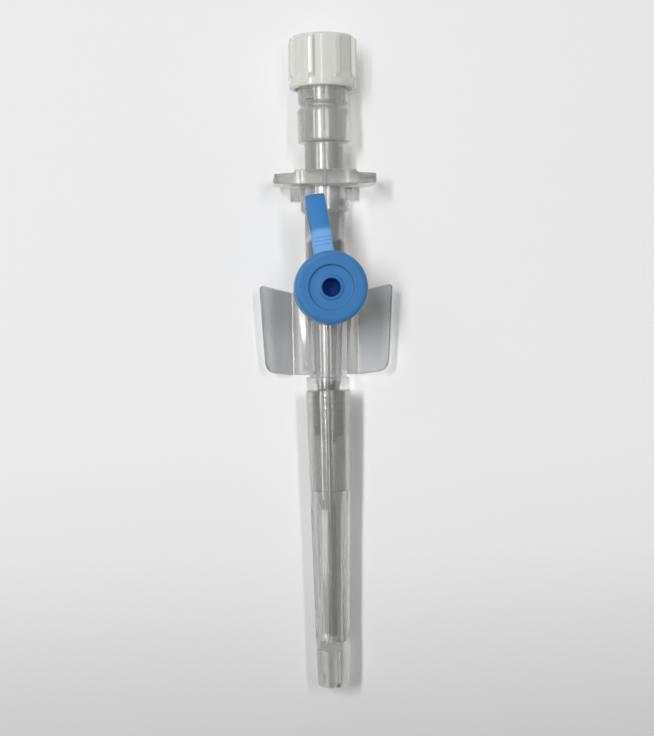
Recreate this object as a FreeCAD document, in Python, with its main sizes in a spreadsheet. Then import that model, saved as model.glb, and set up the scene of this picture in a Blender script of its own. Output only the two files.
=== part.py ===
import FreeCAD, Part
import math
import os

import Sketcher

# Ported intravenous cannula with folding wings, a blue port cap and a clear needle cover.
# Millimetres. The device's axis runs along Y, the Luer cap at +Y and the needle's tip at -Y.
# Z points up through the injection port, and X points right when the cap is at the top.
# Each piece is drawn round the point where the port's axis crosses the device's axis.
# Its placement then brings the base plate's underside to Z = 0 and the middle of the length to Y = 0.

doc = FreeCAD.newDocument("iv_cannula")
sheet = doc.addObject("Spreadsheet::Sheet", "sizes")

FULL_TURN = 360.0
FINE = 1e-9


class Size:
    """A length, angle or count: its number now, and the formula that the document keeps for it."""

    def __init__(self, formula, number):
        self.formula = formula
        self.number = number

    def __add__(self, other):
        other = as_size(other)
        return Size(f"({self.formula} + {other.formula})", self.number + other.number)

    def __sub__(self, other):
        other = as_size(other)
        return Size(f"({self.formula} - {other.formula})", self.number - other.number)

    def __rsub__(self, other):
        return as_size(other) - self

    def __mul__(self, other):
        other = as_size(other)
        return Size(f"({self.formula} * {other.formula})", self.number * other.number)

    def __truediv__(self, other):
        other = as_size(other)
        return Size(f"({self.formula} / {other.formula})", self.number / other.number)

    def __neg__(self):
        return Size(f"(-1 * {self.formula})", -self.number)

    __radd__ = __add__
    __rmul__ = __mul__

    def __rtruediv__(self, other):
        return as_size(other) / self


def as_size(value):
    return value if isinstance(value, Size) else Size(repr(float(value)), float(value))


row_count = 0


def size(alias, number, meaning):
    """Write one driving dimension into the sheet and return it."""
    global row_count
    row_count += 1
    sheet.set(f"A{row_count}", alias)
    sheet.set(f"B{row_count}", repr(number))
    sheet.set(f"C{row_count}", meaning)
    sheet.setAlias(f"B{row_count}", alias)
    return Size(f"sizes.{alias}", float(number))


ZERO = Size("0", 0.0)

# Fits and clearances.
slip_fit = size("slip_fit", 0.05, "radial clearance of plugs, cones and rings that slide or turn")
bore_fit = size("bore_fit", 0.02, "radial clearance of the needle in the catheter tube and ferrule")
end_gap = size("end_gap", 0.15, "gap between end faces that close against each other")
opposite_pair = size("opposite_pair", 2, "keys, lugs, lobe slopes and vent slits come in opposite pairs")

# Device axis, needle and catheter.
axis_height = size("axis_height", 4.75, "device axis above the surface that the cannula rests on")
needle_radius = size("needle_radius", 0.35, "outside radius of the needle")
needle_wall = size("needle_wall", 0.12, "wall of the needle")
bevel_length = size("bevel_length", 2.2, "length of the needle's ground bevel")
needle_show = size("needle_show", 1.8, "needle that stands out of the catheter's tip")
needle_tail = size("needle_tail", 0.6, "needle that stands out of the spigot into the chamber")
tube_wall = size("tube_wall", 0.08, "wall of the catheter tube")
tube_length = size("tube_length", 25.0, "catheter tube in front of the nose")
tube_taper = size("tube_taper", 1.4, "length of the tube's thinned tip")
tube_tip_wall = size("tube_tip_wall", 0.03, "wall at the very tip of the tube")

# Catheter hub, along the device axis.
hub_rear = size("hub_rear", 14.25, "from the port's axis to the hub's rear end")
hub_radius = size("hub_radius", 2.84, "outside radius of the hub's barrel")
hub_waist = size("hub_waist", 2.62, "outside radius of the barrel in front of the port")
luer_radius = size("luer_radius", 3.35, "outside radius of the hub's Luer end")
luer_length = size("luer_length", 3.1, "length of the thicker Luer end")
ear_reach = size("ear_reach", 4.78, "from the axis to the outer end of each Luer ear")
ear_height = size("ear_height", 2.9, "height of each Luer ear")
ear_length = size("ear_length", 1.8, "length of each Luer ear along the axis")
ear_round = size("ear_round", 0.7, "rounding of the ears' corners")
socket_radius = size("socket_radius", 2.15, "radius of the hub's socket at its mouth")
socket_taper = size("socket_taper", 0.22, "radius that the socket loses over its depth")
socket_depth = size("socket_depth", 7.6, "depth of the hub's socket")
collar_front = size("collar_front", 13.7, "from the port's axis to the collar's front face")
collar_length = size("collar_length", 1.85, "length of the collar behind the needle cover")
collar_radius = size("collar_radius", 3.05, "radius of that collar")
collar_round = size("collar_round", 0.18, "rounding of that collar's edges")
nose_radius = size("nose_radius", 2.12, "radius of the nose that plugs into the needle cover")
nose_length = size("nose_length", 7.3, "length of the nose")
nose_point = size("nose_point", 1.1, "length of the narrow end of the nose")
nose_point_radius = size("nose_point_radius", 1.25, "radius of the narrow end at its root")
nose_tip_wall = size("nose_tip_wall", 0.35, "plastic round the tube at the nose's tip")
ring_count = size("ring_count", 5, "rings round the nose")
ring_pitch = size("ring_pitch", 0.97, "distance from ring to ring")
ring_width = size("ring_width", 0.42, "width of one ring")
ring_flank = size("ring_flank", 0.14, "width of the slope on each side of a ring")
ring_rise = size("ring_rise", 0.16, "height of one ring")
ring_start = size("ring_start", 0.75, "from the collar to the first ring")

# Injection port.
tower_radius = size("tower_radius", 3.0, "outside radius of the port's tower")
tower_top = size("tower_top", 9.85, "top of the tower above the device axis")
foot_radius = size("foot_radius", 3.6, "radius of the foot under the swivel ring")
foot_top = size("foot_top", 4.5, "top of that foot above the device axis")
foot_height = size("foot_height", 1.3, "height of the foot")
bead_rise = size("bead_rise", 0.14, "bead that keeps the swivel ring down")
bead_height = size("bead_height", 0.4, "height of the bead")
port_bore = size("port_bore", 2.0, "radius of the port's bore at its mouth")
port_bore_foot = size("port_bore_foot", 1.8, "radius of the port's bore at the valve")
fairing_half_length = size("fairing_half_length", 5.4, "half length of the fairing along the barrel")
fairing_half_width = size("fairing_half_width", 2.5, "half width of the fairing on the barrel")
fairing_foot = size("fairing_foot", 1.0, "height of the fairing's foot above the device axis")
fairing_round = size("fairing_round", 0.9, "rounding of the fairing's corners as a share of its half width")
valve_half_length = size("valve_half_length", 3.4, "half length of the silicone valve sleeve")
valve_radius = size("valve_radius", 1.85, "outside radius of the valve sleeve")
valve_wall = size("valve_wall", 0.5, "wall of the valve sleeve")
valve_stop = size("valve_stop", 0.35, "step that stops the valve sleeve at the front")

# Ferrule in the nose.
ferrule_rear = size("ferrule_rear", 12.4, "from the port's axis to the ferrule's rear end")
ferrule_radius = size("ferrule_radius", 1.15, "outside radius of the ferrule's funnel")
ferrule_wall = size("ferrule_wall", 0.15, "wall of the ferrule")
funnel_length = size("funnel_length", 2.6, "length of the ferrule's funnel")
spigot_length = size("spigot_length", 2.0, "length of the ferrule's spigot inside the tube")
flare_length = size("flare_length", 0.8, "length over which the tube widens onto the spigot")

# Base plate, saddle and wings.
plate_rear = size("plate_rear", 0.1, "from the port's axis back to the base plate's rear edge")
plate_front = size("plate_front", 11.5, "from the port's axis to the base plate's front edge")
plate_thick = size("plate_thick", 0.7, "thickness of the base plate")
hinge_reach = size("hinge_reach", 4.9, "from the middle to each wing's hinge line")
hinge_gap = size("hinge_gap", 0.08, "gap that the thin moulded hinge bridges")
saddle_inset = size("saddle_inset", 0.6, "the saddle's distance from the plate's two ends")
saddle_top = size("saddle_top", 2.1, "half width of the saddle at the barrel")
saddle_seat = size("saddle_seat", 0.65, "the saddle's top below the device axis, inside the barrel")
saddle_waist = size("saddle_waist", 2.3, "half width where the saddle's side turns outwards")
saddle_waist_rise = size("saddle_waist_rise", 0.3, "height of that turn above the plate")
saddle_round = size("saddle_round", 0.9, "hollow rounding of that turn")
saddle_foot_front = size("saddle_foot_front", 2.8, "half width of the saddle's foot at its front")
saddle_foot_rear = size("saddle_foot_rear", 4.1, "half width of the saddle's foot at its rear")
wing_thick = size("wing_thick", 0.5, "thickness of a wing")
wing_rear_reach = size("wing_rear_reach", 5.65, "width of a wing at its rear corner")
wing_front_reach = size("wing_front_reach", 4.75, "width of a wing at its front corner")
wing_rear_sweep = size("wing_rear_sweep", 0.95, "how far the rear corner stands behind the root")
wing_front_sweep = size("wing_front_sweep", 0.45, "how far the front corner falls short of the root")
wing_rear_round = size("wing_rear_round", 0.7, "rounding of the rear corner")
wing_front_round = size("wing_front_round", 1.5, "rounding of the front corner")
wing_lift = size("wing_lift", 40.0, "degrees that each wing is raised from flat")

# Needle grip.
boss_radius = size("boss_radius", 3.5, "radius of the grip's boss")
boss_length = size("boss_length", 2.1, "length of the boss")
boss_round = size("boss_round", 0.3, "rounding of the boss's edges")
grip_setback = size("grip_setback", 0.1, "from the boss's front face to the thumb plate")
grip_thick = size("grip_thick", 1.6, "thickness of the thumb plate")
grip_reach = size("grip_reach", 7.06, "half width of the thumb plate")
grip_half_height = size("grip_half_height", 4.35, "half height of the thumb plate's middle")
grip_shoulder = size("grip_shoulder", 3.3, "half width of the thumb plate's middle")
lobe_half_height = size("lobe_half_height", 2.5, "half height of the outer end of each lobe")
lobe_round = size("lobe_round", 1.3, "rounding of the lobes' corners")
shoulder_round = size("shoulder_round", 1.6, "rounding where the lobes meet the middle")
pad_half_width = size("pad_half_width", 4.5, "half width of the plate's thicker middle at the axis")
pad_side_height = size("pad_side_height", 2.4, "half height of the thicker middle's upright sides")
pad_round = size("pad_round", 0.8, "rounding of the thicker middle's corners")
lobe_slope = size("lobe_slope", 0.25, "how far each lobe's front face slopes back to its end")
cone_length = size("cone_length", 6.9, "length of the male cone in the hub's socket")
rear_spigot = size("rear_spigot", 3.5, "length of the spigot in the chamber's neck")
bond_radius = size("bond_radius", 0.95, "radius of the adhesive that holds the needle")
bond_height = size("bond_height", 0.35, "height of that adhesive")

# Flashback chamber, vent filter and Luer cap.
neck_radius = size("neck_radius", 2.7, "outside radius of the chamber's neck")
neck_length = size("neck_length", 4.0, "length of the neck")
chamber_radius = size("chamber_radius", 3.6, "outside radius of the chamber")
chamber_length = size("chamber_length", 4.8, "length of the chamber's body")
chamber_round = size("chamber_round", 0.45, "rounding of the chamber's shoulders")
groove_width = size("groove_width", 0.5, "width of the groove behind the chamber's body")
groove_depth = size("groove_depth", 0.35, "depth of that groove")
rear_collar_radius = size("rear_collar_radius", 3.5, "radius of the collar behind the groove")
collar_show = size("collar_show", 2.66, "groove and collar that show in front of the Luer cap")
rear_luer_length = size("rear_luer_length", 5.6, "chamber that is hidden inside the Luer cap")
rear_luer_radius = size("rear_luer_radius", 3.3, "outside radius of the chamber's Luer end")
lug_reach = size("lug_reach", 3.85, "radius of the two lugs on the chamber's Luer end")
lug_width = size("lug_width", 2.4, "width of one lug at its root")
lug_crest = size("lug_crest", 1.2, "width of one lug at its crest")
lug_length = size("lug_length", 1.1, "length of one lug")
key_angle = size("key_angle", 35.0, "degrees of the collar's key from the top")
key_width = size("key_width", 1.2, "width of the collar's key")
key_length = size("key_length", 1.2, "length of the collar's key")
key_rise = size("key_rise", 0.3, "height of the collar's key")
chamber_bore = size("chamber_bore", 2.2, "radius of the chamber's bore at the rear")
chamber_draft = size("chamber_draft", 0.15, "radius that the bore loses towards the neck")
filter_setback = size("filter_setback", 4.1, "from the chamber's rear end to the vent filter")
filter_length = size("filter_length", 1.4, "length of the vent filter")
cap_length = size("cap_length", 7.34, "length of the Luer cap")
cap_core = size("cap_core", 4.45, "radius of the Luer cap between its ribs")
cap_rib_radius = size("cap_rib_radius", 4.93, "radius over the Luer cap's ribs")
cap_rib_count = size("cap_rib_count", 8, "ribs round the Luer cap")
cap_rib_root = size("cap_rib_root", 0.95, "width of a rib at its root")
cap_rib_crest = size("cap_rib_crest", 0.65, "width of a rib at its crest")
cap_rib_end = size("cap_rib_end", 0.35, "core that shows behind the ribs")
cap_ring_radius = size("cap_ring_radius", 4.68, "radius of the plain ring at the cap's mouth")
cap_ring_length = size("cap_ring_length", 1.1, "length of that ring")
cap_bore = size("cap_bore", 3.98, "radius of the cap's inside")
cap_end_wall = size("cap_end_wall", 1.3, "end wall of the cap")
cap_plug_length = size("cap_plug_length", 3.9, "length of the plug inside the cap")
cap_plug_wall = size("cap_plug_wall", 0.6, "wall of the plug inside the cap")
cap_round = size("cap_round", 0.4, "rounding of the cap's edges")

# Port cap, strap and swivel ring.
port_cap_radius = size("port_cap_radius", 4.9, "outside radius of the port cap")
port_cap_height = size("port_cap_height", 4.6, "height of the port cap")
port_cap_foot = size("port_cap_foot", 7.45, "underside of the port cap above the device axis")
port_cap_round = size("port_cap_round", 0.75, "rounding of the port cap's rim")
recess_radius = size("recess_radius", 3.0, "radius of the recess in the port cap's top")
recess_depth = size("recess_depth", 0.6, "depth of that recess")
hole_radius = size("hole_radius", 1.2, "radius of the blind hole in the recess")
hole_depth = size("hole_depth", 3.6, "depth of the blind hole below the rim")
lip_width = size("lip_width", 0.4, "width of the lip round the hole")
lip_slope = size("lip_slope", 0.15, "width of the slope outside that lip")
lip_rise = size("lip_rise", 0.18, "height of that lip")
skirt_gap = size("skirt_gap", 0.35, "gap between the port cap's skirt and the tower")
roof_gap = size("roof_gap", 0.2, "gap between the tower's top and the port cap's roof")
port_plug_length = size("port_plug_length", 3.4, "length of the port cap's plug in the tower")
swivel_radius = size("swivel_radius", 4.4, "outside radius of the swivel ring")
swivel_height = size("swivel_height", 1.5, "height of the swivel ring")
swivel_round = size("swivel_round", 0.3, "rounding of the swivel ring")
strap_width = size("strap_width", 2.57, "width of the strap")
strap_thick = size("strap_thick", 0.8, "thickness of the strap")
strap_reach = size("strap_reach", 12.95, "from the port's axis to the strap's far bend")
strap_crest = size("strap_crest", 7.6, "from the port's axis to the strap's crest")
strap_rise = size("strap_rise", 0.55, "how far the crest stands above the strap's root")
strap_drop = size("strap_drop", 1.1, "how far the far end of the upper limb lies below its root")
strap_root = size("strap_root", 1.2, "middle of the strap's root above the port cap's underside")
strap_bend = size("strap_bend", 1.1, "outer radius of the strap's far bend")
strap_crest_round = size("strap_crest_round", 2.2, "radius of the strap's underside at its crest")
strap_turn = size("strap_turn", 8.0, "degrees that the strap is turned to the left")

# Needle cover.
cover_radius = size("cover_radius", 3.09, "outside radius of the needle cover at its mouth")
cover_tip_radius = size("cover_tip_radius", 2.19, "outside radius of the cover at its tip")
cover_tip_length = size("cover_tip_length", 6.3, "closed end of the cover beyond its bore")
cover_tip_round = size("cover_tip_round", 1.1, "rounding of the cover's tip")
cover_ledge = size("cover_ledge", 13.7, "depth of the step inside the cover")
cover_bore = size("cover_bore", 2.42, "radius of the cover's bore at its mouth")
cover_bore_draft = size("cover_bore_draft", 0.14, "radius that this bore loses to the step")
cover_inner = size("cover_inner", 1.75, "radius of the cover's narrow bore at the step")
cover_inner_end = size("cover_inner_end", 1.25, "radius of the narrow bore at its end")
cover_tip_room = size("cover_tip_room", 0.6, "free length in front of the needle's point")
flute_count = size("flute_count", 8, "shallow flutes round the cover")
flute_width = size("flute_width", 1.25, "width of one flute")
flute_depth = size("flute_depth", 0.15, "depth of one flute")
flute_setback = size("flute_setback", 1.2, "from the inner step to the flutes")
vent_width = size("vent_width", 0.5, "width of the two vent slits in the cover's tip")
vent_depth = size("vent_depth", 1.3, "depth of the vent slits")
vent_setback = size("vent_setback", 1.4, "from the end of the bore to the vent slits")
vent_angle = size("vent_angle", 17.0, "degrees of the vent slits from the top")

# Stations along the device axis, worked out from the sizes above.
socket_floor_y = hub_rear - socket_depth
boss_front_y = hub_rear + end_gap
boss_rear_y = boss_front_y + boss_length
neck_rear_y = boss_rear_y + neck_length
groove_y = neck_rear_y + chamber_length
cap_front_y = groove_y + collar_show
chamber_rear_y = cap_front_y + rear_luer_length
cap_rear_y = cap_front_y + cap_length
collar_front_y = -collar_front
nose_tip_y = collar_front_y - nose_length
cover_mouth_y = collar_front_y - end_gap
cover_ledge_y = cover_mouth_y - cover_ledge
tube_tip_y = nose_tip_y - tube_length
needle_tip_y = tube_tip_y - needle_show
cover_bore_end_y = needle_tip_y - cover_tip_room
cover_tip_y = cover_bore_end_y - cover_tip_length
ferrule_rear_y = -ferrule_rear
ferrule_neck_y = ferrule_rear_y - funnel_length
ferrule_front_y = ferrule_neck_y - spigot_length
needle_rear_y = boss_rear_y + rear_spigot + needle_tail
middle_y = (cap_rear_y + cover_tip_y) / 2

tube_bore = needle_radius + bore_fit
tube_radius = tube_bore + tube_wall
spigot_radius = tube_bore + ferrule_wall
flare_radius = spigot_radius + tube_wall

doc.recompute()

sub_parts = []


def bind(thing, path, value):
    thing.setExpression(path, as_size(value).formula)


def new_body(label):
    """Start one sub-part, drawn round the crossing of the two axes and placed in the row's frame."""
    body = doc.addObject("PartDesign::Body", label)
    body.Label = label
    bind(body, "Placement.Base.y", -middle_y)
    bind(body, "Placement.Base.z", axis_height)
    sub_parts.append(body)
    return body


def origin_feature(body, role):
    return next(item for item in body.Origin.OriginFeatures if item.Role == role)


IN_PLANE = FreeCAD.Vector(0, 0, 1)
ROUND_DEVICE_AXIS = FreeCAD.Vector(1, 0, 0)


def new_sketch(body, name, plane, offset=None, turn=None, turn_axis=IN_PLANE):
    """A sketch on one of the body's own planes, moved along the plane's normal and turned.

    The turn is in the plane, or round the device axis for a sketch on YZ_Plane.
    """
    sketch = body.newObject("Sketcher::SketchObject", name)
    sketch.AttachmentSupport = [(origin_feature(body, plane), "")]
    sketch.MapMode = "FlatFace"
    if turn is not None:
        spin = FreeCAD.Rotation(turn_axis, turn.number)
        sketch.AttachmentOffset = FreeCAD.Placement(FreeCAD.Vector(), spin)
        bind(sketch, "AttachmentOffset.Rotation.Angle", turn)
    if offset is not None:
        bind(sketch, "AttachmentOffset.Base.z", offset)
    return sketch


def fix_distance(sketch, kind, item, value):
    """Hold a point's distance from the sketch's origin along one direction by a formula."""
    if value.formula == "0":
        axis = -2 if kind == "DistanceX" else -1
        sketch.addConstraint(Sketcher.Constraint("PointOnObject", item, 1, axis))
        return
    index = sketch.addConstraint(Sketcher.Constraint(kind, -1, 1, item, 1, value.number))
    bind(sketch, f"Constraints[{index}]", value)


def draw_outline(sketch, corners):
    """Draw a closed outline through the corners, (x, y) or (x, y, rounding) each.

    Straight lines join the corners, and a corner with a rounding gets a tangent arc.
    A construction point marks each rounded corner, so that it keeps its two distances.
    """
    corners = [tuple(as_size(v) for v in corner) for corner in corners]
    count = len(corners)
    places = [FreeCAD.Vector(c[0].number, c[1].number, 0) for c in corners]
    leaves, arrives, arcs = [], [], []
    for i, corner in enumerate(corners):
        here = places[i]
        if len(corner) == 2:
            arrives.append(here)
            leaves.append(here)
            arcs.append(None)
            continue
        back = (places[i - 1] - here).normalize()
        ahead = (places[(i + 1) % count] - here).normalize()
        half = back.getAngle(ahead) / 2
        radius = corner[2].number
        run = radius / math.tan(half)
        centre = here + (back + ahead).normalize() * (radius / math.sin(half))
        first, last = here + back * run, here + ahead * run
        turns_left = back.cross(ahead).z < 0
        if not turns_left:
            first, last = last, first
        start = math.atan2(first.y - centre.y, first.x - centre.x)
        end = math.atan2(last.y - centre.y, last.x - centre.x)
        circle = Part.Circle(centre, FreeCAD.Vector(0, 0, 1), radius)
        arcs.append((Part.ArcOfCircle(circle, start, end), turns_left))
        arrives.append(here + back * run)
        leaves.append(here + ahead * run)
    for i in range(count):
        sketch.addGeometry(Part.LineSegment(leaves[i], arrives[(i + 1) % count]), False)
    for i, corner in enumerate(corners):
        before = (i - 1) % count
        if arcs[i] is None:
            sketch.addConstraint(Sketcher.Constraint("Coincident", before, 2, i, 1))
            point = i
        else:
            arc, turns_left = arcs[i]
            entry, way_out = (1, 2) if turns_left else (2, 1)
            bow = sketch.addGeometry(arc, False)
            point = sketch.addGeometry(Part.Point(places[i]), True)
            sketch.addConstraint(Sketcher.Constraint("Tangent", before, 2, bow, entry))
            sketch.addConstraint(Sketcher.Constraint("Tangent", bow, way_out, i, 1))
            index = sketch.addConstraint(Sketcher.Constraint("Radius", bow, corner[2].number))
            bind(sketch, f"Constraints[{index}]", corner[2])
            sketch.addConstraint(Sketcher.Constraint("PointOnObject", point, 1, before))
            sketch.addConstraint(Sketcher.Constraint("PointOnObject", point, 1, i))
        fix_distance(sketch, "DistanceX", point, corner[0])
        fix_distance(sketch, "DistanceY", point, corner[1])


def draw_circle(sketch, radius):
    item = sketch.addGeometry(Part.Circle(FreeCAD.Vector(), FreeCAD.Vector(0, 0, 1), radius.number), False)
    sketch.addConstraint(Sketcher.Constraint("Coincident", item, 3, -1, 1))
    index = sketch.addConstraint(Sketcher.Constraint("Radius", item, radius.number))
    bind(sketch, f"Constraints[{index}]", radius)


def turned(body, name, corners, plane="XY_Plane"):
    """A turned form: on XY_Plane corners are (radius, station) round the device axis.

    On XZ_Plane they are (radius, height) round the port's axis.
    """
    sketch = new_sketch(body, f"{name}_profile", plane)
    draw_outline(sketch, corners)
    form = body.newObject("PartDesign::Revolution", name)
    form.Profile = sketch
    form.ReferenceAxis = (sketch, ["V_Axis"])
    form.Angle = FULL_TURN
    return form


def bored(body, name, corners, plane="XY_Plane"):
    """A turned cut, with its corners given as for a turned form."""
    doc.recompute()
    before = body.Shape.Volume
    sketch = new_sketch(body, f"{name}_profile", plane)
    draw_outline(sketch, corners)
    cut = body.newObject("PartDesign::Groove", name)
    cut.Profile = sketch
    cut.ReferenceAxis = (sketch, ["V_Axis"])
    cut.Angle = FULL_TURN
    doc.recompute()
    if body.Shape.Volume > before - FINE:
        raise ValueError(f"{body.Label}: {name} cuts nothing")
    return cut


def padded(body, name, sketch, length, both_ways=False):
    form = body.newObject("PartDesign::Pad", name)
    form.Profile = sketch
    form.Midplane = both_ways
    bind(form, "Length", length)
    return form


def pocketed(body, name, sketch, length):
    """A cut of the given length, half to each side of its sketch."""
    doc.recompute()
    before = body.Shape.Volume
    cut = body.newObject("PartDesign::Pocket", name)
    cut.Profile = sketch
    cut.Midplane = True
    bind(cut, "Length", length)
    doc.recompute()
    if body.Shape.Volume > before - FINE:
        raise ValueError(f"{body.Label}: {name} cuts nothing")
    return cut


def repeated_round(body, name, feature, count):
    """Copies of a feature, evenly spaced round the device axis."""
    doc.recompute()
    pattern = body.newObject("PartDesign::PolarPattern", name)
    pattern.Originals = [feature]
    pattern.Axis = (origin_feature(body, "Y_Axis"), [""])
    pattern.Angle = FULL_TURN
    pattern.Occurrences = int(count.number)
    bind(pattern, "Occurrences", count)
    body.Tip = pattern
    return pattern


def make_luer_lock_cap():
    """White cap: a ribbed cup with a hollow plug inside that closes the chamber."""
    body = new_body("luer_lock_cap")
    inner_end_y = cap_rear_y - cap_end_wall
    plug_radius = chamber_bore - slip_fit
    plug_front_y = inner_end_y - cap_plug_length
    ring_rear_y = cap_front_y + cap_ring_length
    turned(body, "cup", [
        (ZERO, inner_end_y),
        (plug_radius - cap_plug_wall, inner_end_y),
        (plug_radius - cap_plug_wall, plug_front_y),
        (plug_radius, plug_front_y),
        (plug_radius, inner_end_y),
        (cap_bore, inner_end_y),
        (cap_bore, cap_front_y),
        (cap_ring_radius, cap_front_y, cap_round),
        (cap_ring_radius, ring_rear_y),
        (cap_core, ring_rear_y + (cap_ring_radius - cap_core)),
        (cap_core, cap_rear_y, cap_round),
        (ZERO, cap_rear_y),
    ])
    rib_sketch = new_sketch(body, "rib_section", "XZ_Plane", cap_rib_end - cap_rear_y, 180 / cap_rib_count)
    rib_foot = cap_core - (cap_rib_radius - cap_core)
    draw_outline(rib_sketch, [
        (-cap_rib_root / 2, rib_foot),
        (cap_rib_root / 2, rib_foot),
        (cap_rib_root / 2, cap_core),
        (cap_rib_crest / 2, cap_rib_radius),
        (-cap_rib_crest / 2, cap_rib_radius),
        (-cap_rib_root / 2, cap_core),
    ])
    rib_length = cap_length - cap_rib_end - cap_ring_length / 2
    rib = padded(body, "rib", rib_sketch, rib_length)
    repeated_round(body, "ribs", rib, cap_rib_count)
    return body


def make_vent_filter():
    """Porous plug that lets air out of the chamber and holds the blood back."""
    body = new_body("vent_filter")
    rear_y = chamber_rear_y - filter_setback
    turned(body, "plug", [
        (ZERO, rear_y - filter_length),
        (chamber_bore - chamber_draft, rear_y - filter_length),
        (chamber_bore - chamber_draft, rear_y),
        (ZERO, rear_y),
    ])
    return body


def make_flashback_chamber():
    """Clear chamber: neck, body and collar outside, one drafted bore inside."""
    body = new_body("flashback_chamber")
    collar_y = groove_y + groove_width
    spigot_end_y = boss_rear_y + rear_spigot
    narrow = chamber_bore - chamber_draft
    turned(body, "shell", [
        (narrow, boss_rear_y),
        (neck_radius, boss_rear_y),
        (neck_radius, neck_rear_y),
        (chamber_radius, neck_rear_y, chamber_round),
        (chamber_radius, groove_y, chamber_round),
        (rear_collar_radius - groove_depth, groove_y + groove_width / 2),
        (rear_collar_radius, collar_y, chamber_round / 2),
        (rear_collar_radius, cap_front_y),
        (rear_luer_radius, cap_front_y + groove_width),
        (rear_luer_radius, chamber_rear_y),
        (chamber_bore, chamber_rear_y),
        (chamber_bore, chamber_rear_y - filter_setback),
        (narrow, chamber_rear_y - filter_setback),
        (narrow, spigot_end_y),
    ])
    key_sketch = new_sketch(body, "key_section", "XZ_Plane", -(cap_front_y - groove_width), key_angle)
    draw_outline(key_sketch, [
        (-key_width / 2, rear_collar_radius - key_rise),
        (key_width / 2, rear_collar_radius - key_rise),
        (key_width / 2, rear_collar_radius + key_rise),
        (-key_width / 2, rear_collar_radius + key_rise),
    ])
    key = padded(body, "key", key_sketch, key_length)
    repeated_round(body, "keys", key, opposite_pair)
    lug_sketch = new_sketch(body, "lug_section", "XZ_Plane", -chamber_rear_y)
    lug_foot = rear_luer_radius - (lug_reach - rear_luer_radius)
    draw_outline(lug_sketch, [
        (-lug_width / 2, lug_foot),
        (lug_width / 2, lug_foot),
        (lug_width / 2, rear_luer_radius),
        (lug_crest / 2, lug_reach),
        (-lug_crest / 2, lug_reach),
        (-lug_width / 2, rear_luer_radius),
    ])
    lug = padded(body, "lug", lug_sketch, lug_length)
    repeated_round(body, "lugs", lug, opposite_pair)
    return body


def make_needle_grip():
    """Clear grip: boss and thumb plate, male cone in front, spigot behind, bored for the needle."""
    body = new_body("needle_grip")
    cone_front_y = boss_front_y - cone_length
    slope = socket_taper / socket_depth
    cone_root = socket_radius - slip_fit
    spigot_end_y = boss_rear_y + rear_spigot
    turned(body, "core", [
        (ZERO, cone_front_y),
        (cone_root - slope * (cone_length - end_gap), cone_front_y),
        (cone_root, hub_rear),
        (cone_root, boss_front_y),
        (boss_radius, boss_front_y, boss_round),
        (boss_radius, boss_rear_y, boss_round),
        (chamber_bore - chamber_draft, boss_rear_y),
        (chamber_bore - chamber_draft, spigot_end_y),
        (ZERO, spigot_end_y),
    ])
    plate_rear_y = boss_front_y + grip_setback + grip_thick
    plate_sketch = new_sketch(body, "thumb_plate_section", "XZ_Plane", -plate_rear_y)
    draw_outline(plate_sketch, [
        (grip_reach, lobe_half_height, lobe_round),
        (grip_shoulder, grip_half_height, shoulder_round),
        (-grip_shoulder, grip_half_height, shoulder_round),
        (-grip_reach, lobe_half_height, lobe_round),
        (-grip_reach, -lobe_half_height, lobe_round),
        (-grip_shoulder, -grip_half_height, shoulder_round),
        (grip_shoulder, -grip_half_height, shoulder_round),
        (grip_reach, -lobe_half_height, lobe_round),
    ])
    padded(body, "thumb_plate", plate_sketch, grip_thick)
    pad_sketch = new_sketch(body, "thicker_middle_section", "XZ_Plane", -boss_rear_y)
    draw_outline(pad_sketch, [
        (grip_shoulder, grip_half_height, pad_round),
        (-grip_shoulder, grip_half_height, pad_round),
        (-pad_half_width, pad_side_height, pad_round),
        (-pad_half_width, -pad_side_height, pad_round),
        (-grip_shoulder, -grip_half_height, pad_round),
        (grip_shoulder, -grip_half_height, pad_round),
        (pad_half_width, -pad_side_height, pad_round),
        (pad_half_width, pad_side_height, pad_round),
    ])
    padded(body, "thicker_middle", pad_sketch, boss_length - grip_setback)
    lobe_front_y = boss_front_y + grip_setback
    slope_sketch = new_sketch(body, "lobe_slope_profile", "XY_Plane")
    draw_outline(slope_sketch, [
        (pad_half_width, lobe_front_y),
        (grip_reach, lobe_front_y + lobe_slope),
        (grip_reach + end_gap, lobe_front_y + lobe_slope),
        (grip_reach + end_gap, lobe_front_y - end_gap),
        (pad_half_width, lobe_front_y - end_gap),
    ])
    lobe_cut = pocketed(body, "lobe_front", slope_sketch, grip_half_height * 2)
    repeated_round(body, "lobe_fronts", lobe_cut, opposite_pair)
    bored(body, "needle_bore", [
        (ZERO, cone_front_y - end_gap),
        (needle_radius, cone_front_y - end_gap),
        (needle_radius, spigot_end_y + end_gap),
        (ZERO, spigot_end_y + end_gap),
    ])
    return body


def make_needle_bond():
    """Ring of set adhesive round the needle at the end of the grip's spigot."""
    body = new_body("needle_bond")
    spigot_end_y = boss_rear_y + rear_spigot
    turned(body, "fillet_of_adhesive", [
        (needle_radius, spigot_end_y),
        (bond_radius, spigot_end_y),
        (needle_radius, spigot_end_y + bond_height),
    ])
    return body


def make_needle():
    """Steel tube with a bevel ground across its front end, facing up."""
    body = new_body("needle")
    inner = needle_radius - needle_wall
    needle_width = needle_radius * 2
    turned(body, "tube", [
        (inner, needle_tip_y),
        (needle_radius, needle_tip_y),
        (needle_radius, needle_rear_y),
        (inner, needle_rear_y),
    ])
    bevel = new_sketch(body, "bevel_profile", "YZ_Plane")
    draw_outline(bevel, [
        (needle_tip_y, -needle_radius),
        (needle_tip_y + bevel_length, needle_radius),
        (needle_tip_y + bevel_length, needle_width),
        (needle_tip_y - bevel_length, needle_width),
        (needle_tip_y - bevel_length, -needle_radius),
    ])
    pocketed(body, "bevel", bevel, needle_width * 2)
    return body


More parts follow.
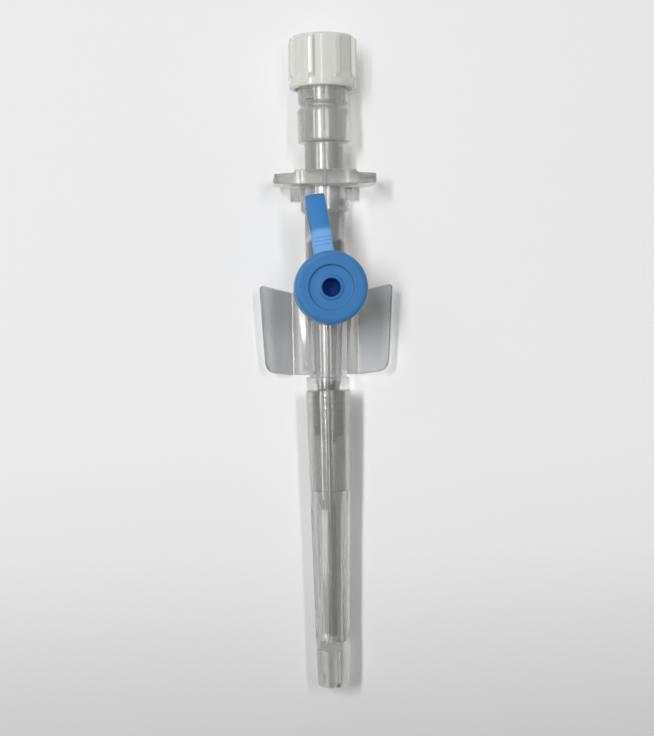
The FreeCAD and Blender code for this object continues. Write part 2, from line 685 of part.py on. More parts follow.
def saddle_section(body, name, ahead, foot):
    """Section of the saddle at a distance ahead of the port's axis: steep sides that flare to its foot."""
    sketch = new_sketch(body, name, "XZ_Plane", ahead)
    plate_top = plate_thick - axis_height
    waist_z = plate_top + saddle_waist_rise
    buried_z = plate_top - plate_thick / 2
    draw_outline(sketch, [
        (saddle_top, -saddle_seat),
        (saddle_top, -hub_waist),
        (saddle_waist, waist_z, saddle_round),
        (foot, plate_top),
        (foot, buried_z),
        (-foot, buried_z),
        (-foot, plate_top),
        (-saddle_waist, waist_z, saddle_round),
        (-saddle_top, -hub_waist),
        (-saddle_top, -saddle_seat),
    ])
    return sketch


def make_catheter_hub():
    """Clear hub: barrel, Luer ears, port tower with its fairing, saddle, base plate and ringed nose."""
    body = new_body("catheter_hub")
    collar_rear_y = collar_front_y + collar_length
    point_y = nose_tip_y + nose_point
    outer = [
        (ZERO, hub_rear),
        (luer_radius, hub_rear),
        (luer_radius, hub_rear - luer_length),
        (hub_radius, hub_rear - luer_length - (luer_radius - hub_radius)),
        (hub_radius, ZERO),
        (hub_waist, collar_rear_y),
        (collar_radius, collar_rear_y, collar_round),
        (collar_radius, collar_front_y, collar_round),
        (nose_radius, collar_front_y),
    ]
    for ring in range(int(ring_count.number)):
        ring_y = collar_front_y - ring_start - ring_pitch * ring
        outer += [
            (nose_radius, ring_y),
            (nose_radius + ring_rise, ring_y - ring_flank),
            (nose_radius + ring_rise, ring_y - ring_width + ring_flank),
            (nose_radius, ring_y - ring_width),
        ]
    outer += [
        (nose_radius, point_y),
        (nose_point_radius, point_y),
        (tube_radius + nose_tip_wall, nose_tip_y),
        (ZERO, nose_tip_y),
    ]
    turned(body, "barrel", outer)

    ear_sketch = new_sketch(body, "ear_section", "XZ_Plane", -hub_rear)
    draw_outline(ear_sketch, [
        (ear_reach, ear_height / 2, ear_round),
        (-ear_reach, ear_height / 2, ear_round),
        (-ear_reach, -ear_height / 2, ear_round),
        (ear_reach, -ear_height / 2, ear_round),
    ])
    padded(body, "luer_ears", ear_sketch, ear_length)

    foot_floor = foot_top - foot_height
    bead_z = foot_top + end_gap + swivel_height
    turned(body, "tower", [
        (ZERO, ZERO),
        (tower_radius, ZERO),
        (tower_radius, foot_floor - (foot_radius - tower_radius)),
        (foot_radius, foot_floor),
        (foot_radius, foot_top),
        (tower_radius, foot_top),
        (tower_radius, bead_z),
        (tower_radius + bead_rise, bead_z + bead_height / 2),
        (tower_radius, bead_z + bead_height),
        (tower_radius, tower_top, end_gap),
        (ZERO, tower_top),
    ], "XZ_Plane")

    fairing_low = new_sketch(body, "fairing_foot_outline", "XY_Plane", fairing_foot)
    low_round = fairing_half_width * fairing_round
    draw_outline(fairing_low, [
        (fairing_half_width, -fairing_half_length, low_round),
        (fairing_half_width, fairing_half_length, low_round),
        (-fairing_half_width, fairing_half_length, low_round),
        (-fairing_half_width, -fairing_half_length, low_round),
    ])
    fairing_high = new_sketch(body, "fairing_top_outline", "XY_Plane", foot_floor)
    high_round = tower_radius * fairing_round
    draw_outline(fairing_high, [
        (tower_radius, -tower_radius, high_round),
        (tower_radius, tower_radius, high_round),
        (-tower_radius, tower_radius, high_round),
        (-tower_radius, -tower_radius, high_round),
    ])
    fairing = body.newObject("PartDesign::AdditiveLoft", "fairing")
    fairing.Profile = fairing_low
    fairing.Sections = [fairing_high]

    plate_sketch = new_sketch(body, "base_plate_outline", "XY_Plane", -axis_height)
    plate_half = hinge_reach - wing_thick / 2 - hinge_gap
    draw_outline(plate_sketch, [
        (plate_half, -plate_front),
        (plate_half, plate_rear),
        (-plate_half, plate_rear),
        (-plate_half, -plate_front),
    ])
    padded(body, "base_plate", plate_sketch, plate_thick)

    saddle_front = saddle_section(body, "saddle_front_section", plate_front - saddle_inset, saddle_foot_front)
    saddle_rear = saddle_section(body, "saddle_rear_section", saddle_inset - plate_rear, saddle_foot_rear)
    saddle = body.newObject("PartDesign::AdditiveLoft", "saddle")
    saddle.Profile = saddle_front
    saddle.Sections = [saddle_rear]

    valve_end_y = -valve_half_length
    bored(body, "main_bore", [
        (ZERO, hub_rear + end_gap),
        (socket_radius, hub_rear + end_gap),
        (socket_radius, hub_rear),
        (socket_radius - socket_taper, socket_floor_y),
        (valve_radius, socket_floor_y),
        (valve_radius, valve_end_y),
        (valve_radius - valve_stop, valve_end_y),
        (ferrule_radius, ferrule_rear_y),
        (ferrule_radius, ferrule_rear_y - end_gap),
        (spigot_radius, ferrule_neck_y),
        (flare_radius, ferrule_neck_y),
        (flare_radius, ferrule_front_y),
        (tube_radius, ferrule_front_y - flare_length),
        (tube_radius, nose_tip_y - end_gap),
        (ZERO, nose_tip_y - end_gap),
    ])
    bored(body, "port_bore", [
        (ZERO, valve_radius / 2),
        (port_bore_foot, valve_radius / 2),
        (port_bore_foot, hub_radius),
        (port_bore, tower_top),
        (port_bore, tower_top + end_gap),
        (ZERO, tower_top + end_gap),
    ], "XZ_Plane")
    return body


def make_port_valve():
    """Silicone sleeve that lies over the port's bore inside the hub."""
    body = new_body("port_valve")
    turned(body, "sleeve", [
        (valve_radius - valve_wall, -valve_half_length),
        (valve_radius, -valve_half_length),
        (valve_radius, valve_half_length),
        (valve_radius - valve_wall, valve_half_length),
    ])
    return body


def make_ferrule():
    """Metal bush: a funnel for the needle, and a spigot that the tube is wedged on."""
    body = new_body("ferrule")
    turned(body, "bush", [
        (ferrule_radius - ferrule_wall, ferrule_rear_y),
        (ferrule_radius, ferrule_rear_y),
        (ferrule_radius, ferrule_rear_y - end_gap),
        (spigot_radius, ferrule_neck_y),
        (spigot_radius, ferrule_front_y),
        (tube_bore, ferrule_front_y),
        (tube_bore, ferrule_neck_y),
    ])
    return body


def make_catheter_tube():
    """Thin soft tube, widened over the ferrule's spigot and thinned at its tip."""
    body = new_body("catheter_tube")
    turned(body, "tube", [
        (spigot_radius, ferrule_neck_y),
        (flare_radius, ferrule_neck_y),
        (flare_radius, ferrule_front_y),
        (tube_radius, ferrule_front_y - flare_length),
        (tube_radius, tube_tip_y + tube_taper),
        (tube_bore + tube_tip_wall, tube_tip_y),
        (tube_bore, tube_tip_y),
        (tube_bore, ferrule_front_y - flare_length),
        (spigot_radius, ferrule_front_y),
    ])
    return body


def make_wing(name, side):
    """One wing, drawn flat from its hinge line outwards and raised by its placement."""
    body = new_body(name)
    outline = new_sketch(body, "outline", "XY_Plane")
    draw_outline(outline, [
        (ZERO, -plate_front),
        (side * wing_front_reach, wing_front_sweep - plate_front, wing_front_round),
        (side * wing_rear_reach, plate_rear + wing_rear_sweep, wing_rear_round),
        (ZERO, plate_rear),
    ])
    padded(body, "flap", outline, wing_thick, True)
    root = new_sketch(body, "root_section", "XZ_Plane", -plate_rear)
    draw_circle(root, wing_thick / 2)
    padded(body, "root_roll", root, plate_front + plate_rear)
    body.Placement = FreeCAD.Placement(
        FreeCAD.Vector(), FreeCAD.Rotation(FreeCAD.Vector(0, -side, 0), wing_lift.number))
    bind(body, "Placement.Base.x", side * hinge_reach)
    bind(body, "Placement.Base.z", plate_thick / 2)
    bind(body, "Placement.Rotation.Angle", wing_lift)
    return body


def make_port_cap():
    """Blue cap: rounded rim, recess and blind hole on top, skirt and plug below."""
    body = new_body("port_cap")
    top = port_cap_foot + port_cap_height
    roof = tower_top + roof_gap
    skirt_inner = tower_radius + skirt_gap
    recess_floor = top - recess_depth
    plug_foot = tower_top - port_plug_length
    plug_radius = port_bore - slip_fit - (port_bore - port_bore_foot) / 2
    lip_radius = hole_radius + lip_width
    turned(body, "shell", [
        (ZERO, plug_foot),
        (plug_radius, plug_foot, lip_width),
        (plug_radius, roof),
        (skirt_inner, roof),
        (skirt_inner, port_cap_foot),
        (port_cap_radius, port_cap_foot, swivel_round),
        (port_cap_radius, top, port_cap_round),
        (recess_radius, top, lip_width / 2),
        (recess_radius, recess_floor),
        (lip_radius, recess_floor),
        (lip_radius - lip_slope, recess_floor + lip_rise),
        (hole_radius, recess_floor + lip_rise),
        (hole_radius, top - hole_depth),
        (ZERO, top - hole_depth),
    ], "XZ_Plane")
    return body


def make_port_cap_ring():
    """Blue ring that snaps round the tower under the port cap and turns on it."""
    body = new_body("port_cap_ring")
    floor = foot_top + end_gap / 2
    inner = tower_radius + slip_fit
    turned(body, "ring", [
        (inner, floor),
        (swivel_radius, floor, swivel_round),
        (swivel_radius, floor + swivel_height, swivel_round),
        (inner, floor + swivel_height),
    ], "XZ_Plane")
    return body


def make_port_cap_strap():
    """Blue strap: leaves the cap's side, bends back at its far end and returns to the ring."""
    body = new_body("port_cap_strap")
    half = strap_thick / 2
    root_z = port_cap_foot + strap_root
    crest_z = root_z + strap_rise
    end_z = root_z - strap_drop
    ring_z = foot_top + end_gap / 2 + swivel_height / 2
    cap_side = port_cap_radius + slip_fit
    inner_bend = strap_bend - strap_thick
    sketch = new_sketch(body, "side_outline", "YZ_Plane")
    draw_outline(sketch, [
        (cap_side - half, root_z - half),
        (strap_crest, crest_z - half, strap_crest_round),
        (strap_reach - strap_thick, end_z - half, inner_bend),
        (strap_reach - strap_thick, ring_z + half, inner_bend),
        (swivel_radius - swivel_round, ring_z + half),
        (swivel_radius - swivel_round, ring_z - half),
        (strap_reach, ring_z - half, strap_bend),
        (strap_reach, end_z + half, strap_bend),
        (strap_crest, crest_z + half, strap_crest_round + strap_thick),
        (cap_side - half, root_z + half),
    ])
    padded(body, "loop", sketch, strap_width, True)
    bored(body, "cap_side_cut", [
        (ZERO, port_cap_foot),
        (cap_side, port_cap_foot),
        (cap_side, port_cap_foot + port_cap_height),
        (ZERO, port_cap_foot + port_cap_height),
    ], "XZ_Plane")
    bored(body, "ring_side_cut", [
        (ZERO, foot_top),
        (swivel_radius, foot_top),
        (swivel_radius, port_cap_foot),
        (ZERO, port_cap_foot),
    ], "XZ_Plane")
    body.Placement = FreeCAD.Placement(
        FreeCAD.Vector(), FreeCAD.Rotation(FreeCAD.Vector(0, 0, 1), strap_turn.number))
    bind(body, "Placement.Rotation.Angle", strap_turn)
    return body


def make_needle_cover():
    """Clear tapered sheath: stepped bore, shallow flutes outside, closed tip with two vent slits."""
    body = new_body("needle_cover")
    taper = (cover_radius - cover_tip_radius) / (cover_mouth_y - cover_tip_y)
    turned(body, "sheath", [
        (cover_bore, cover_mouth_y),
        (cover_radius, cover_mouth_y, end_gap),
        (cover_tip_radius, cover_tip_y, cover_tip_round),
        (ZERO, cover_tip_y),
        (ZERO, cover_bore_end_y),
        (cover_inner_end, cover_bore_end_y),
        (cover_inner, cover_ledge_y),
        (cover_bore - cover_bore_draft, cover_ledge_y),
    ])
    flute_rear_y = cover_ledge_y - flute_setback
    rear_radius = cover_radius - taper * (cover_mouth_y - flute_rear_y)
    front_radius = cover_radius - taper * (cover_mouth_y - cover_bore_end_y)
    half_pitch = 180 / flute_count
    flute_sketch = new_sketch(body, "flute_profile", "YZ_Plane", turn=half_pitch, turn_axis=ROUND_DEVICE_AXIS)
    draw_outline(flute_sketch, [
        (cover_bore_end_y, front_radius),
        (cover_bore_end_y + flute_width, front_radius - flute_depth),
        (flute_rear_y - flute_width, rear_radius - flute_depth),
        (flute_rear_y, rear_radius),
        (flute_rear_y, cover_radius + flute_depth),
        (cover_bore_end_y, cover_radius + flute_depth),
    ])
    flute = pocketed(body, "flute", flute_sketch, flute_width)
    repeated_round(body, "flutes", flute, flute_count)
    vent_sketch = new_sketch(body, "vent_section", "XZ_Plane", -(cover_bore_end_y - vent_setback), -vent_angle)
    draw_outline(vent_sketch, [
        (-vent_width / 2, cover_tip_radius - vent_depth),
        (vent_width / 2, cover_tip_radius - vent_depth),
        (vent_width / 2, cover_radius),
        (-vent_width / 2, cover_radius),
    ])
    doc.recompute()
    vent = body.newObject("PartDesign::Pocket", "vent")
    vent.Profile = vent_sketch
    vent.Reversed = True
    bind(vent, "Length", cover_tip_length - vent_setback + end_gap)
    repeated_round(body, "vents", vent, opposite_pair)
    return body


make_luer_lock_cap()
make_vent_filter()
make_flashback_chamber()
make_needle_grip()
make_needle_bond()
make_needle()
make_catheter_hub()
make_port_valve()
make_ferrule()
make_catheter_tube()
make_wing("wing_left", -1)
make_wing("wing_right", 1)
make_port_cap()
make_port_cap_ring()
make_port_cap_strap()
make_needle_cover()

doc.recompute()

for item in doc.Objects:
    if "Invalid" in item.State or "Error" in item.State:
        raise ValueError(f"{item.Name} ({item.Label}) failed: {item.State}")

os.makedirs("parts", exist_ok=True)
for body in sub_parts:
    shape = body.Shape
    if shape.isNull() or not shape.isValid() or len(shape.Solids) != 1:
        raise ValueError(f"{body.Label} is not one valid solid")
    shape.exportStep(f"parts/{body.Label}.step")
    print(f"{body.Label}: {shape.Volume:.3f} mm3, box {shape.BoundBox}")
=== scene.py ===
# %% [markdown]
# # A ported intravenous cannula
# This lesson dresses a small clinical product: a clear moulded hub with two wings, a white
# ribbed cap, a blue port cap on its strap, and a needle inside a clear fluted cover.
# Almost everything on it was turned or swept, so most pieces are profiles carried round an axis.
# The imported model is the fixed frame. Each new surface takes its place from the frame's boxes.

import bmesh
import bpy
import numpy as np
from mathutils import Matrix, Vector


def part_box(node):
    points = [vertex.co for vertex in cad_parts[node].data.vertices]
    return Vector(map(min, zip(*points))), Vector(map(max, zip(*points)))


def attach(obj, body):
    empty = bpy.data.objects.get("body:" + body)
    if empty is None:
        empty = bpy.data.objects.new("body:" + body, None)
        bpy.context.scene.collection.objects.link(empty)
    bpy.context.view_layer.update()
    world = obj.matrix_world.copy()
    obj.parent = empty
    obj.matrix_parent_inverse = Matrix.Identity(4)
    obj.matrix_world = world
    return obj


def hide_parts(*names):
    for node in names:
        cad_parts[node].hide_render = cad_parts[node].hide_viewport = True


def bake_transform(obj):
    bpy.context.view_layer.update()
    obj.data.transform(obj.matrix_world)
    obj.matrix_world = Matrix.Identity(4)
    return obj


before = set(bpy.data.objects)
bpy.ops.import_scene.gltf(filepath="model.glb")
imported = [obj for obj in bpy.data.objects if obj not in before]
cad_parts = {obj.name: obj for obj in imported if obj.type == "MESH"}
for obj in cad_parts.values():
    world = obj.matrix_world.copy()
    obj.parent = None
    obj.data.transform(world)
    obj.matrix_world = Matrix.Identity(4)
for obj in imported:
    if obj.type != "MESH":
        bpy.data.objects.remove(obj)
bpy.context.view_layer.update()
print("nodes:", ", ".join(sorted(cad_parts)))

# %% [markdown]
# ## Where things are
# Sizes are written in millimetres and turned into metres once, when a mesh is made.
# A box gives a node's lowest and highest corner, so its ends, its axis and the port's axis
# are read from the frame and not typed again.

# %% Read the stations from the frame
MM = 0.001


def span(node):
    """Lowest and highest corner of a CAD node, in millimetres."""
    low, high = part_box(node)
    return np.array(low) / MM, np.array(high) / MM


needle_low, needle_high = span("needle")
port_low, port_high = span("port_cap")
AXIS_Z = (needle_low[2] + needle_high[2]) / 2
PORT_Y = (port_low[1] + port_high[1]) / 2
print(f"device axis at z = {AXIS_Z:.2f} mm, port axis at y = {PORT_Y:.2f} mm")

# %% [markdown]
# ## Surfaces from two parameters
# A turned piece is an outline, given as corners of radius and station, and an angle.
# Moulded edges are never sharp, so each corner is first replaced by a small curve, and a
# holding point on each side of it keeps the flat faces flat under smooth shading.
# Everything is worked out as whole arrays. One function then turns a grid into a mesh.

# %% Outlines with soft corners
EDGE = 0.08  # a plain moulded edge
HOLD = 0.05  # from a curve's end to its holding point
MOST = 0.42  # a curve takes no more than this share of the shorter side


def soften(corners, closed=True, steps=5):
    """Round the corners of an outline.

    Each corner (a, b, rounding) with its neighbours' directions p and q becomes the curve
    (1-t)^2 (c + p r) + 2 t (1-t) c + t^2 (c + q r), with a holding point before and after it.
    """
    place = np.array([c[:2] for c in corners], float)
    rounding = np.array([c[2] if len(c) > 2 else EDGE for c in corners], float)
    to_last = np.roll(place, 1, axis=0) - place
    to_next = np.roll(place, -1, axis=0) - place
    last_length = np.linalg.norm(to_last, axis=1)[:, None]
    next_length = np.linalg.norm(to_next, axis=1)[:, None]
    p, q = to_last / last_length, to_next / next_length
    shorter = np.minimum(last_length, next_length)
    run = np.minimum(rounding[:, None], MOST * shorter)
    if not closed:
        run[0] = run[-1] = 0
    hold = np.minimum(HOLD, 0.05 * shorter) * (run > 0)
    t = np.linspace(0, 1, steps)[None, :, None]
    start, end, middle = (place + p * run)[:, None], (place + q * run)[:, None], place[:, None]
    curve = (1 - t) ** 2 * start + 2 * t * (1 - t) * middle + t**2 * end
    before = (place + p * (run + hold))[:, None]
    after = (place + q * (run + hold))[:, None]
    line = np.concatenate([before, curve, after], axis=1).reshape(-1, 2)
    return thin_out(line, closed)


def thin_out(line, closed):
    """Drop the points of a line that stand on the point before them."""
    step = np.linalg.norm(line - np.roll(line, 1, axis=0), axis=1)
    keep = step > 1e-5
    keep[0] = keep[0] or not closed
    return line[keep]


def refine(line, step, closed=True):
    """Add points along a line so that no stretch is longer than step."""
    if closed:
        line = np.concatenate([line, line[:1]])
    length = np.r_[0, np.cumsum(np.linalg.norm(np.diff(line, axis=0), axis=1))]
    extra = np.linspace(0, length[-1], int(length[-1] / step) + 1)
    gap = np.abs(extra[:, None] - length[None, :]).min(1)
    where = np.sort(np.concatenate([length, extra[gap > step / 3]]))
    dense = np.stack([np.interp(where, length, line[:, k]) for k in (0, 1)], axis=1)
    return dense[:-1] if closed else dense


# %% A grid of points becomes a mesh
SAME_PLACE = 2e-7  # metres: points nearer than this are one
NO_LENGTH = 1e-8
QUAD = 4


def surface(name, points, wrap=(False, True), fill=False):
    """Make a mesh from an (m, n, 3) array in millimetres.

    Face (i, j) joins grid points (i, j), (i+1, j), (i+1, j+1) and (i, j+1), and wrap says
    which of the two parameters closes on itself. Doubles at poles and seams are merged.
    """
    m, n = points.shape[:2]
    i = np.arange(m if wrap[0] else m - 1)[:, None]
    j = np.arange(n if wrap[1] else n - 1)[None, :]
    i2, j2 = (i + 1) % m, (j + 1) % n
    faces = np.stack([i * n + j, i2 * n + j, i2 * n + j2, i * n + j2], axis=-1).reshape(-1, 4)
    mesh = bpy.data.meshes.new(name)
    mesh.from_pydata((points.reshape(-1, 3) * MM).tolist(), [], faces.tolist())
    return finish_mesh(name, mesh, fill=fill)


def finish_mesh(name, mesh, sharp=38.0, fill=False):
    """Merge doubles, point the faces outwards, shade smooth but for sharp edges, and link.

    fill closes the open ends. A face with many sides is cut into triangles at once, because
    a piece that bends would otherwise have it cut in another way at each pose.
    """
    work = bmesh.new()
    work.from_mesh(mesh)
    bmesh.ops.remove_doubles(work, verts=work.verts, dist=SAME_PLACE)
    bmesh.ops.dissolve_degenerate(work, edges=work.edges, dist=NO_LENGTH)
    if fill:
        rims = [edge for edge in work.edges if edge.is_boundary]
        bmesh.ops.holes_fill(work, edges=rims, sides=0)
        many_sided = [face for face in work.faces if len(face.verts) > QUAD]
        bmesh.ops.triangulate(work, faces=many_sided, ngon_method="EAR_CLIP")
    bmesh.ops.recalc_face_normals(work, faces=work.faces)
    work.to_mesh(mesh)
    work.free()
    mesh.shade_smooth()
    mesh.set_sharp_from_angle(angle=np.radians(sharp))
    piece = bpy.data.objects.new(name, mesh)
    bpy.context.scene.collection.objects.link(piece)
    print(f"{name}: {len(mesh.polygons)} faces")
    return piece


# %% Turned pieces
def lathe(name, outline, around="device", turns=128, wave=None, closed=True):
    """Turn an outline of (radius, station) points round an axis.

    Stations are measured from the port's axis. Round the device's axis a point stands at
    (r sin a, y0 + s, z0 + r cos a), so a = 0 is the top, and round the port's axis at
    (r cos a, y0 + r sin a, z0 + s). wave(r, s, a) may move the points first, for ribs,
    flutes, keys and a ground tip.
    """
    a = np.linspace(0, 2 * np.pi, turns, endpoint=False)[None, :]
    r = outline[:, :1] + 0 * a
    s = outline[:, 1:] + 0 * a
    if wave is not None:
        r, s = wave(r, s, a + 0 * r)
    if around == "device":
        points = np.stack([r * np.sin(a), PORT_Y + s, AXIS_Z + r * np.cos(a)], axis=-1)
    else:
        points = np.stack([r * np.cos(a), PORT_Y + r * np.sin(a), AXIS_Z + s], axis=-1)
    return surface(name, points, (closed, True))


def smooth_step(x, low, high):
    """0 below low, 1 above high, and 3 t^2 - 2 t^3 between them."""
    t = np.clip((x - low) / (high - low), 0, 1)
    return t * t * (3 - 2 * t)


def pulse(x, low, high, blur):
    """1 between low and high, with soft ends."""
    return smooth_step(x, low - blur, low + blur) * (1 - smooth_step(x, high - blur, high + blur))


def off_line(a, count, first=0.0):
    """Angle from the nearest of evenly spaced lines round an axis, the first at first."""
    pitch = 2 * np.pi / count
    return (a - first + pitch / 2) % pitch - pitch / 2


def ridge(a, r, count, width, blur, first=0.0):
    """Evenly spaced ridges: 1 where the nearest line is less than half a width away, across."""
    across = np.abs(np.sin(off_line(a, count, first))) * r
    return 1 - smooth_step(across, width / 2 - blur, width / 2 + blur)


# %% [markdown]
# ## Shader maths as Python
# A small class wraps a socket and overloads the operators, so a pattern reads like a formula.
# Any other node comes from one method that takes its type, its settings and its inputs.

# %% The material helper
class Wire:
    """A node's output that Python's operators turn into Math nodes."""

    def __init__(self, finish, socket):
        self.finish = finish
        self.socket = socket

    def math(self, operation, first, second=None):
        values = {0: first} if second is None else {0: first, 1: second}
        return self.finish.node("ShaderNodeMath", {"operation": operation}, values)

    def __add__(self, other):
        return self.math("ADD", self, other)

    def __sub__(self, other):
        return self.math("SUBTRACT", self, other)

    def __rsub__(self, other):
        return self.math("SUBTRACT", other, self)

    def __mul__(self, other):
        return self.math("MULTIPLY", self, other)

    def __pow__(self, other):
        return self.math("POWER", self, other)

    __radd__ = __add__
    __rmul__ = __mul__

    def clamp(self, low, high):
        return self.math("MINIMUM", self.math("MAXIMUM", self, low), high)


class Finish:
    """A material with one Principled shader, and short ways to add nodes before it."""

    def __init__(self, name, **constants):
        self.material = bpy.data.materials.new(name)
        self.material.use_nodes = True
        self.tree = self.material.node_tree
        self.shader = self.tree.nodes["Principled BSDF"]
        self.place = self.node("ShaderNodeTexCoord", output="Object")
        for socket, value in constants.items():
            self.feed(socket.replace("_", " "), value)

    def node(self, kind, settings=None, inputs=None, output=0):
        """Add a node, apply its settings, then give its sockets values or links."""
        made = self.tree.nodes.new(kind)
        for name, value in (settings or {}).items():
            if name == "stops":
                ramp = made.color_ramp
                for element, (where, colour) in zip(self.stops(ramp, len(value)), value):
                    element.position = where
                    element.color = (*colour, 1)
            else:
                setattr(made, name, value)
        for socket, value in (inputs or {}).items():
            self.plug(made.inputs[socket], value)
        return Wire(self, made.outputs[output])

    @staticmethod
    def stops(ramp, count):
        """A ramp's elements, after new ones have brought them up to the count."""
        while len(ramp.elements) < count:
            ramp.elements.new(0.5)
        return ramp.elements

    def plug(self, socket, value):
        """Link a wire to a socket, or set the socket to a plain value."""
        if isinstance(value, Wire):
            self.tree.links.new(value.socket, socket)
        else:
            socket.default_value = value

    def feed(self, socket, value):
        """Plug a value or a wire into the shader. A colour's alpha is 1."""
        if isinstance(value, tuple) and len(value) == 3:
            value = (*value, 1)
        self.plug(self.shader.inputs[socket], value)

    def noise(self, scale, detail=2.0, roughness=0.5, stretch=(1, 1, 1)):
        """Noise in the object's own metres, drawn out along an axis where stretch is under 1."""
        where = self.node("ShaderNodeMapping", inputs={"Vector": self.place, "Scale": stretch})
        return self.node(
            "ShaderNodeTexNoise",
            inputs={"Vector": where, "Scale": scale, "Detail": detail, "Roughness": roughness},
        )

    def mix(self, factor, low, high):
        """Mix two colours."""
        low = (*low, 1) if isinstance(low, tuple) else low
        high = (*high, 1) if isinstance(high, tuple) else high
        return self.node(
            "ShaderNodeMix", {"data_type": "RGBA"}, {0: factor, 6: low, 7: high}, output=2
        )

    def relief(self, height, strength, distance):
        """Feed a height in metres to the shader's normal through a Bump node."""
        bump = self.node(
            "ShaderNodeBump", inputs={"Strength": strength, "Distance": distance, "Height": height}
        )
        self.feed("Normal", bump)


# %% [markdown]
# ## Camera
# The photograph was taken from above, a little to the left of the device's axis and about a
# quarter of a metre away, so raised parts lean away from the middle. The lens looks straight
# at a point near the middle of the base plate, and the picture is turned by about a degree.

# %% Put the camera in place
CAMERA_AT = (-14.6, -2.1, 260.7)
CAMERA_AIM = (-0.13, -0.9, 4.75)
CAMERA_ROLL = 1.05
LENS = 90.6

camera_data = bpy.data.cameras.new("camera")
camera_data.lens = LENS
camera_data.sensor_width = 36
camera_data.clip_start = 0.01
camera = bpy.data.objects.new("camera", camera_data)
bpy.context.scene.collection.objects.link(camera)
ahead = (Vector(CAMERA_AIM) - Vector(CAMERA_AT)).normalized()
up = Vector((np.sin(np.radians(CAMERA_ROLL)), np.cos(np.radians(CAMERA_ROLL)), 0))
right = ahead.cross(up).normalized()
up = right.cross(ahead)
turn = [[right[k], up[k], -ahead[k], CAMERA_AT[k] * MM] for k in range(3)]
camera.matrix_world = Matrix([*turn, [0, 0, 0, 1]])
bpy.context.scene.camera = camera
bpy.context.scene.view_settings.view_transform = "Standard"
print(f"camera {CAMERA_AT[2]} mm above the table, lens {LENS} mm")

# %% [markdown]
# ## Light, world and table
# Every round part carries two long thin highlights, so two long lamps run along the object, one
# to the left and one above. They are made for reflections alone. The shadows come from softer
# lamps that no surface mirrors: a strong one to the left and a weak one to the right. A wide
# cool window and a dim room fill the rest.


# %% Lamps
def lamp(name, place, size, power, colour=(1, 1, 1), mirrored=True, lights=True):
    """A rectangular lamp at a place in metres that faces the object, long side along Y.

    mirrored says whether gloss shows it, and lights whether it brightens matt surfaces.
    """
    data = bpy.data.lights.new(name, "AREA")
    data.shape = "RECTANGLE"
    data.size, data.size_y = size
    data.energy = power
    data.color = colour
    light = bpy.data.objects.new(name, data)
    light.location = place
    facing = -Vector(place).normalized()
    side = Vector((0, 1, 0)).cross(facing).normalized()
    along = facing.cross(side)
    rows = [[side[k], -along[k], -facing[k], place[k]] for k in range(3)]
    light.matrix_world = Matrix([*rows, [0, 0, 0, 1]])
    light.visible_glossy = mirrored
    light.visible_diffuse = lights
    bpy.context.scene.collection.objects.link(light)
    return light


HIGH = 1.24
NEUTRAL, WARM, COOL = (1, 0.995, 0.985), (1, 0.98, 0.95), (0.93, 0.965, 1)
lamp("shadow_lamp_left", (-0.5, 0.2, HIGH), (0.1, 0.5), 12.2, NEUTRAL, mirrored=False)
lamp("shadow_lamp_right", (0.31, 0.2, HIGH), (0.08, 0.5), 4.0, WARM, mirrored=False)
lamp("tube_left", (-1.24, 0.45, HIGH), (0.22, 1.6), 8.0, lights=False)
lamp("tube_above", (-0.15, 0.45, HIGH), (0.12, 1.6), 2.0, lights=False)
lamp("soft_window", (-1.0, 1.0, 1.4), (1.4, 1.4), 3.4, COOL, mirrored=False)

world = bpy.data.worlds.new("room")
world.use_nodes = True
room = world.node_tree.nodes["Background"].inputs
room["Color"].default_value = (0.93, 0.96, 1, 1)
room["Strength"].default_value = 0.13
bpy.context.scene.world = world
print("lamps:", len(bpy.data.lights))

# %% [markdown]
# ## Table
# The object lies on a plain pale sheet. The sheet is a little darker towards the lower edge of
# the picture, so a ramp along Y gives its colour: five greys, over the length that shows.

# %% Table with a soft fade
HALF_TABLE = 0.8
SHOWN = 7.5  # one divided by the length of table that the ramp covers, in metres
GREYS = ((0.0, 0.52), (0.15, 0.63), (0.3, 0.78), (0.42, 0.82), (1.0, 0.81))
table_mesh = bpy.data.meshes.new("table")
corners = [(-1, -1), (1, -1), (1, 1), (-1, 1)]
corners = [(x * HALF_TABLE, y * HALF_TABLE, 0) for x, y in corners]
table_mesh.from_pydata(corners, [], [(0, 1, 2, 3)])
table = bpy.data.objects.new("table", table_mesh)
bpy.context.scene.collection.objects.link(table)
paper = Finish("table_white", Roughness=0.9, Specular_IOR_Level=0.0)
along = paper.node("ShaderNodeSeparateXYZ", inputs={0: paper.place}, output="Y")
fade = [(where, (grey, grey, grey * 1.01)) for where, grey in GREYS]
share = (along * SHOWN + 0.5).clamp(0, 1)
tone = paper.node("ShaderNodeValToRGB", {"stops": fade}, {"Fac": share})
paper.feed("Base Color", tone)
table_mesh.materials.append(paper.material)


# %% [markdown]
# ## Finishes
# The clear parts are real solids of clear plastic, so they bend light: the Principled shader's
# transmission does that, and the thick walls then show the lines that the real ones show.
# A clear moulding is never perfectly clean. Flow marks drawn out along it make it a little
# milky here and there, and they also ripple its surface very slightly. Its inside is a little
# matt from the mould while its skin is glossy, so a thin coat draws the sharp highlights.
# Light also gets through to the table, but not in a straight line, and a straight shadow ray
# would find nothing but shadow. So a shadow ray meets a surface that is only partly solid.


# %% Clear plastics
def let_light_through(finish, share):
    """Make a finish partly see-through for shadow rays, and for nothing else."""
    shadow = finish.node("ShaderNodeLightPath", output="Is Shadow Ray")
    finish.feed("Alpha", 1 - shadow * share)


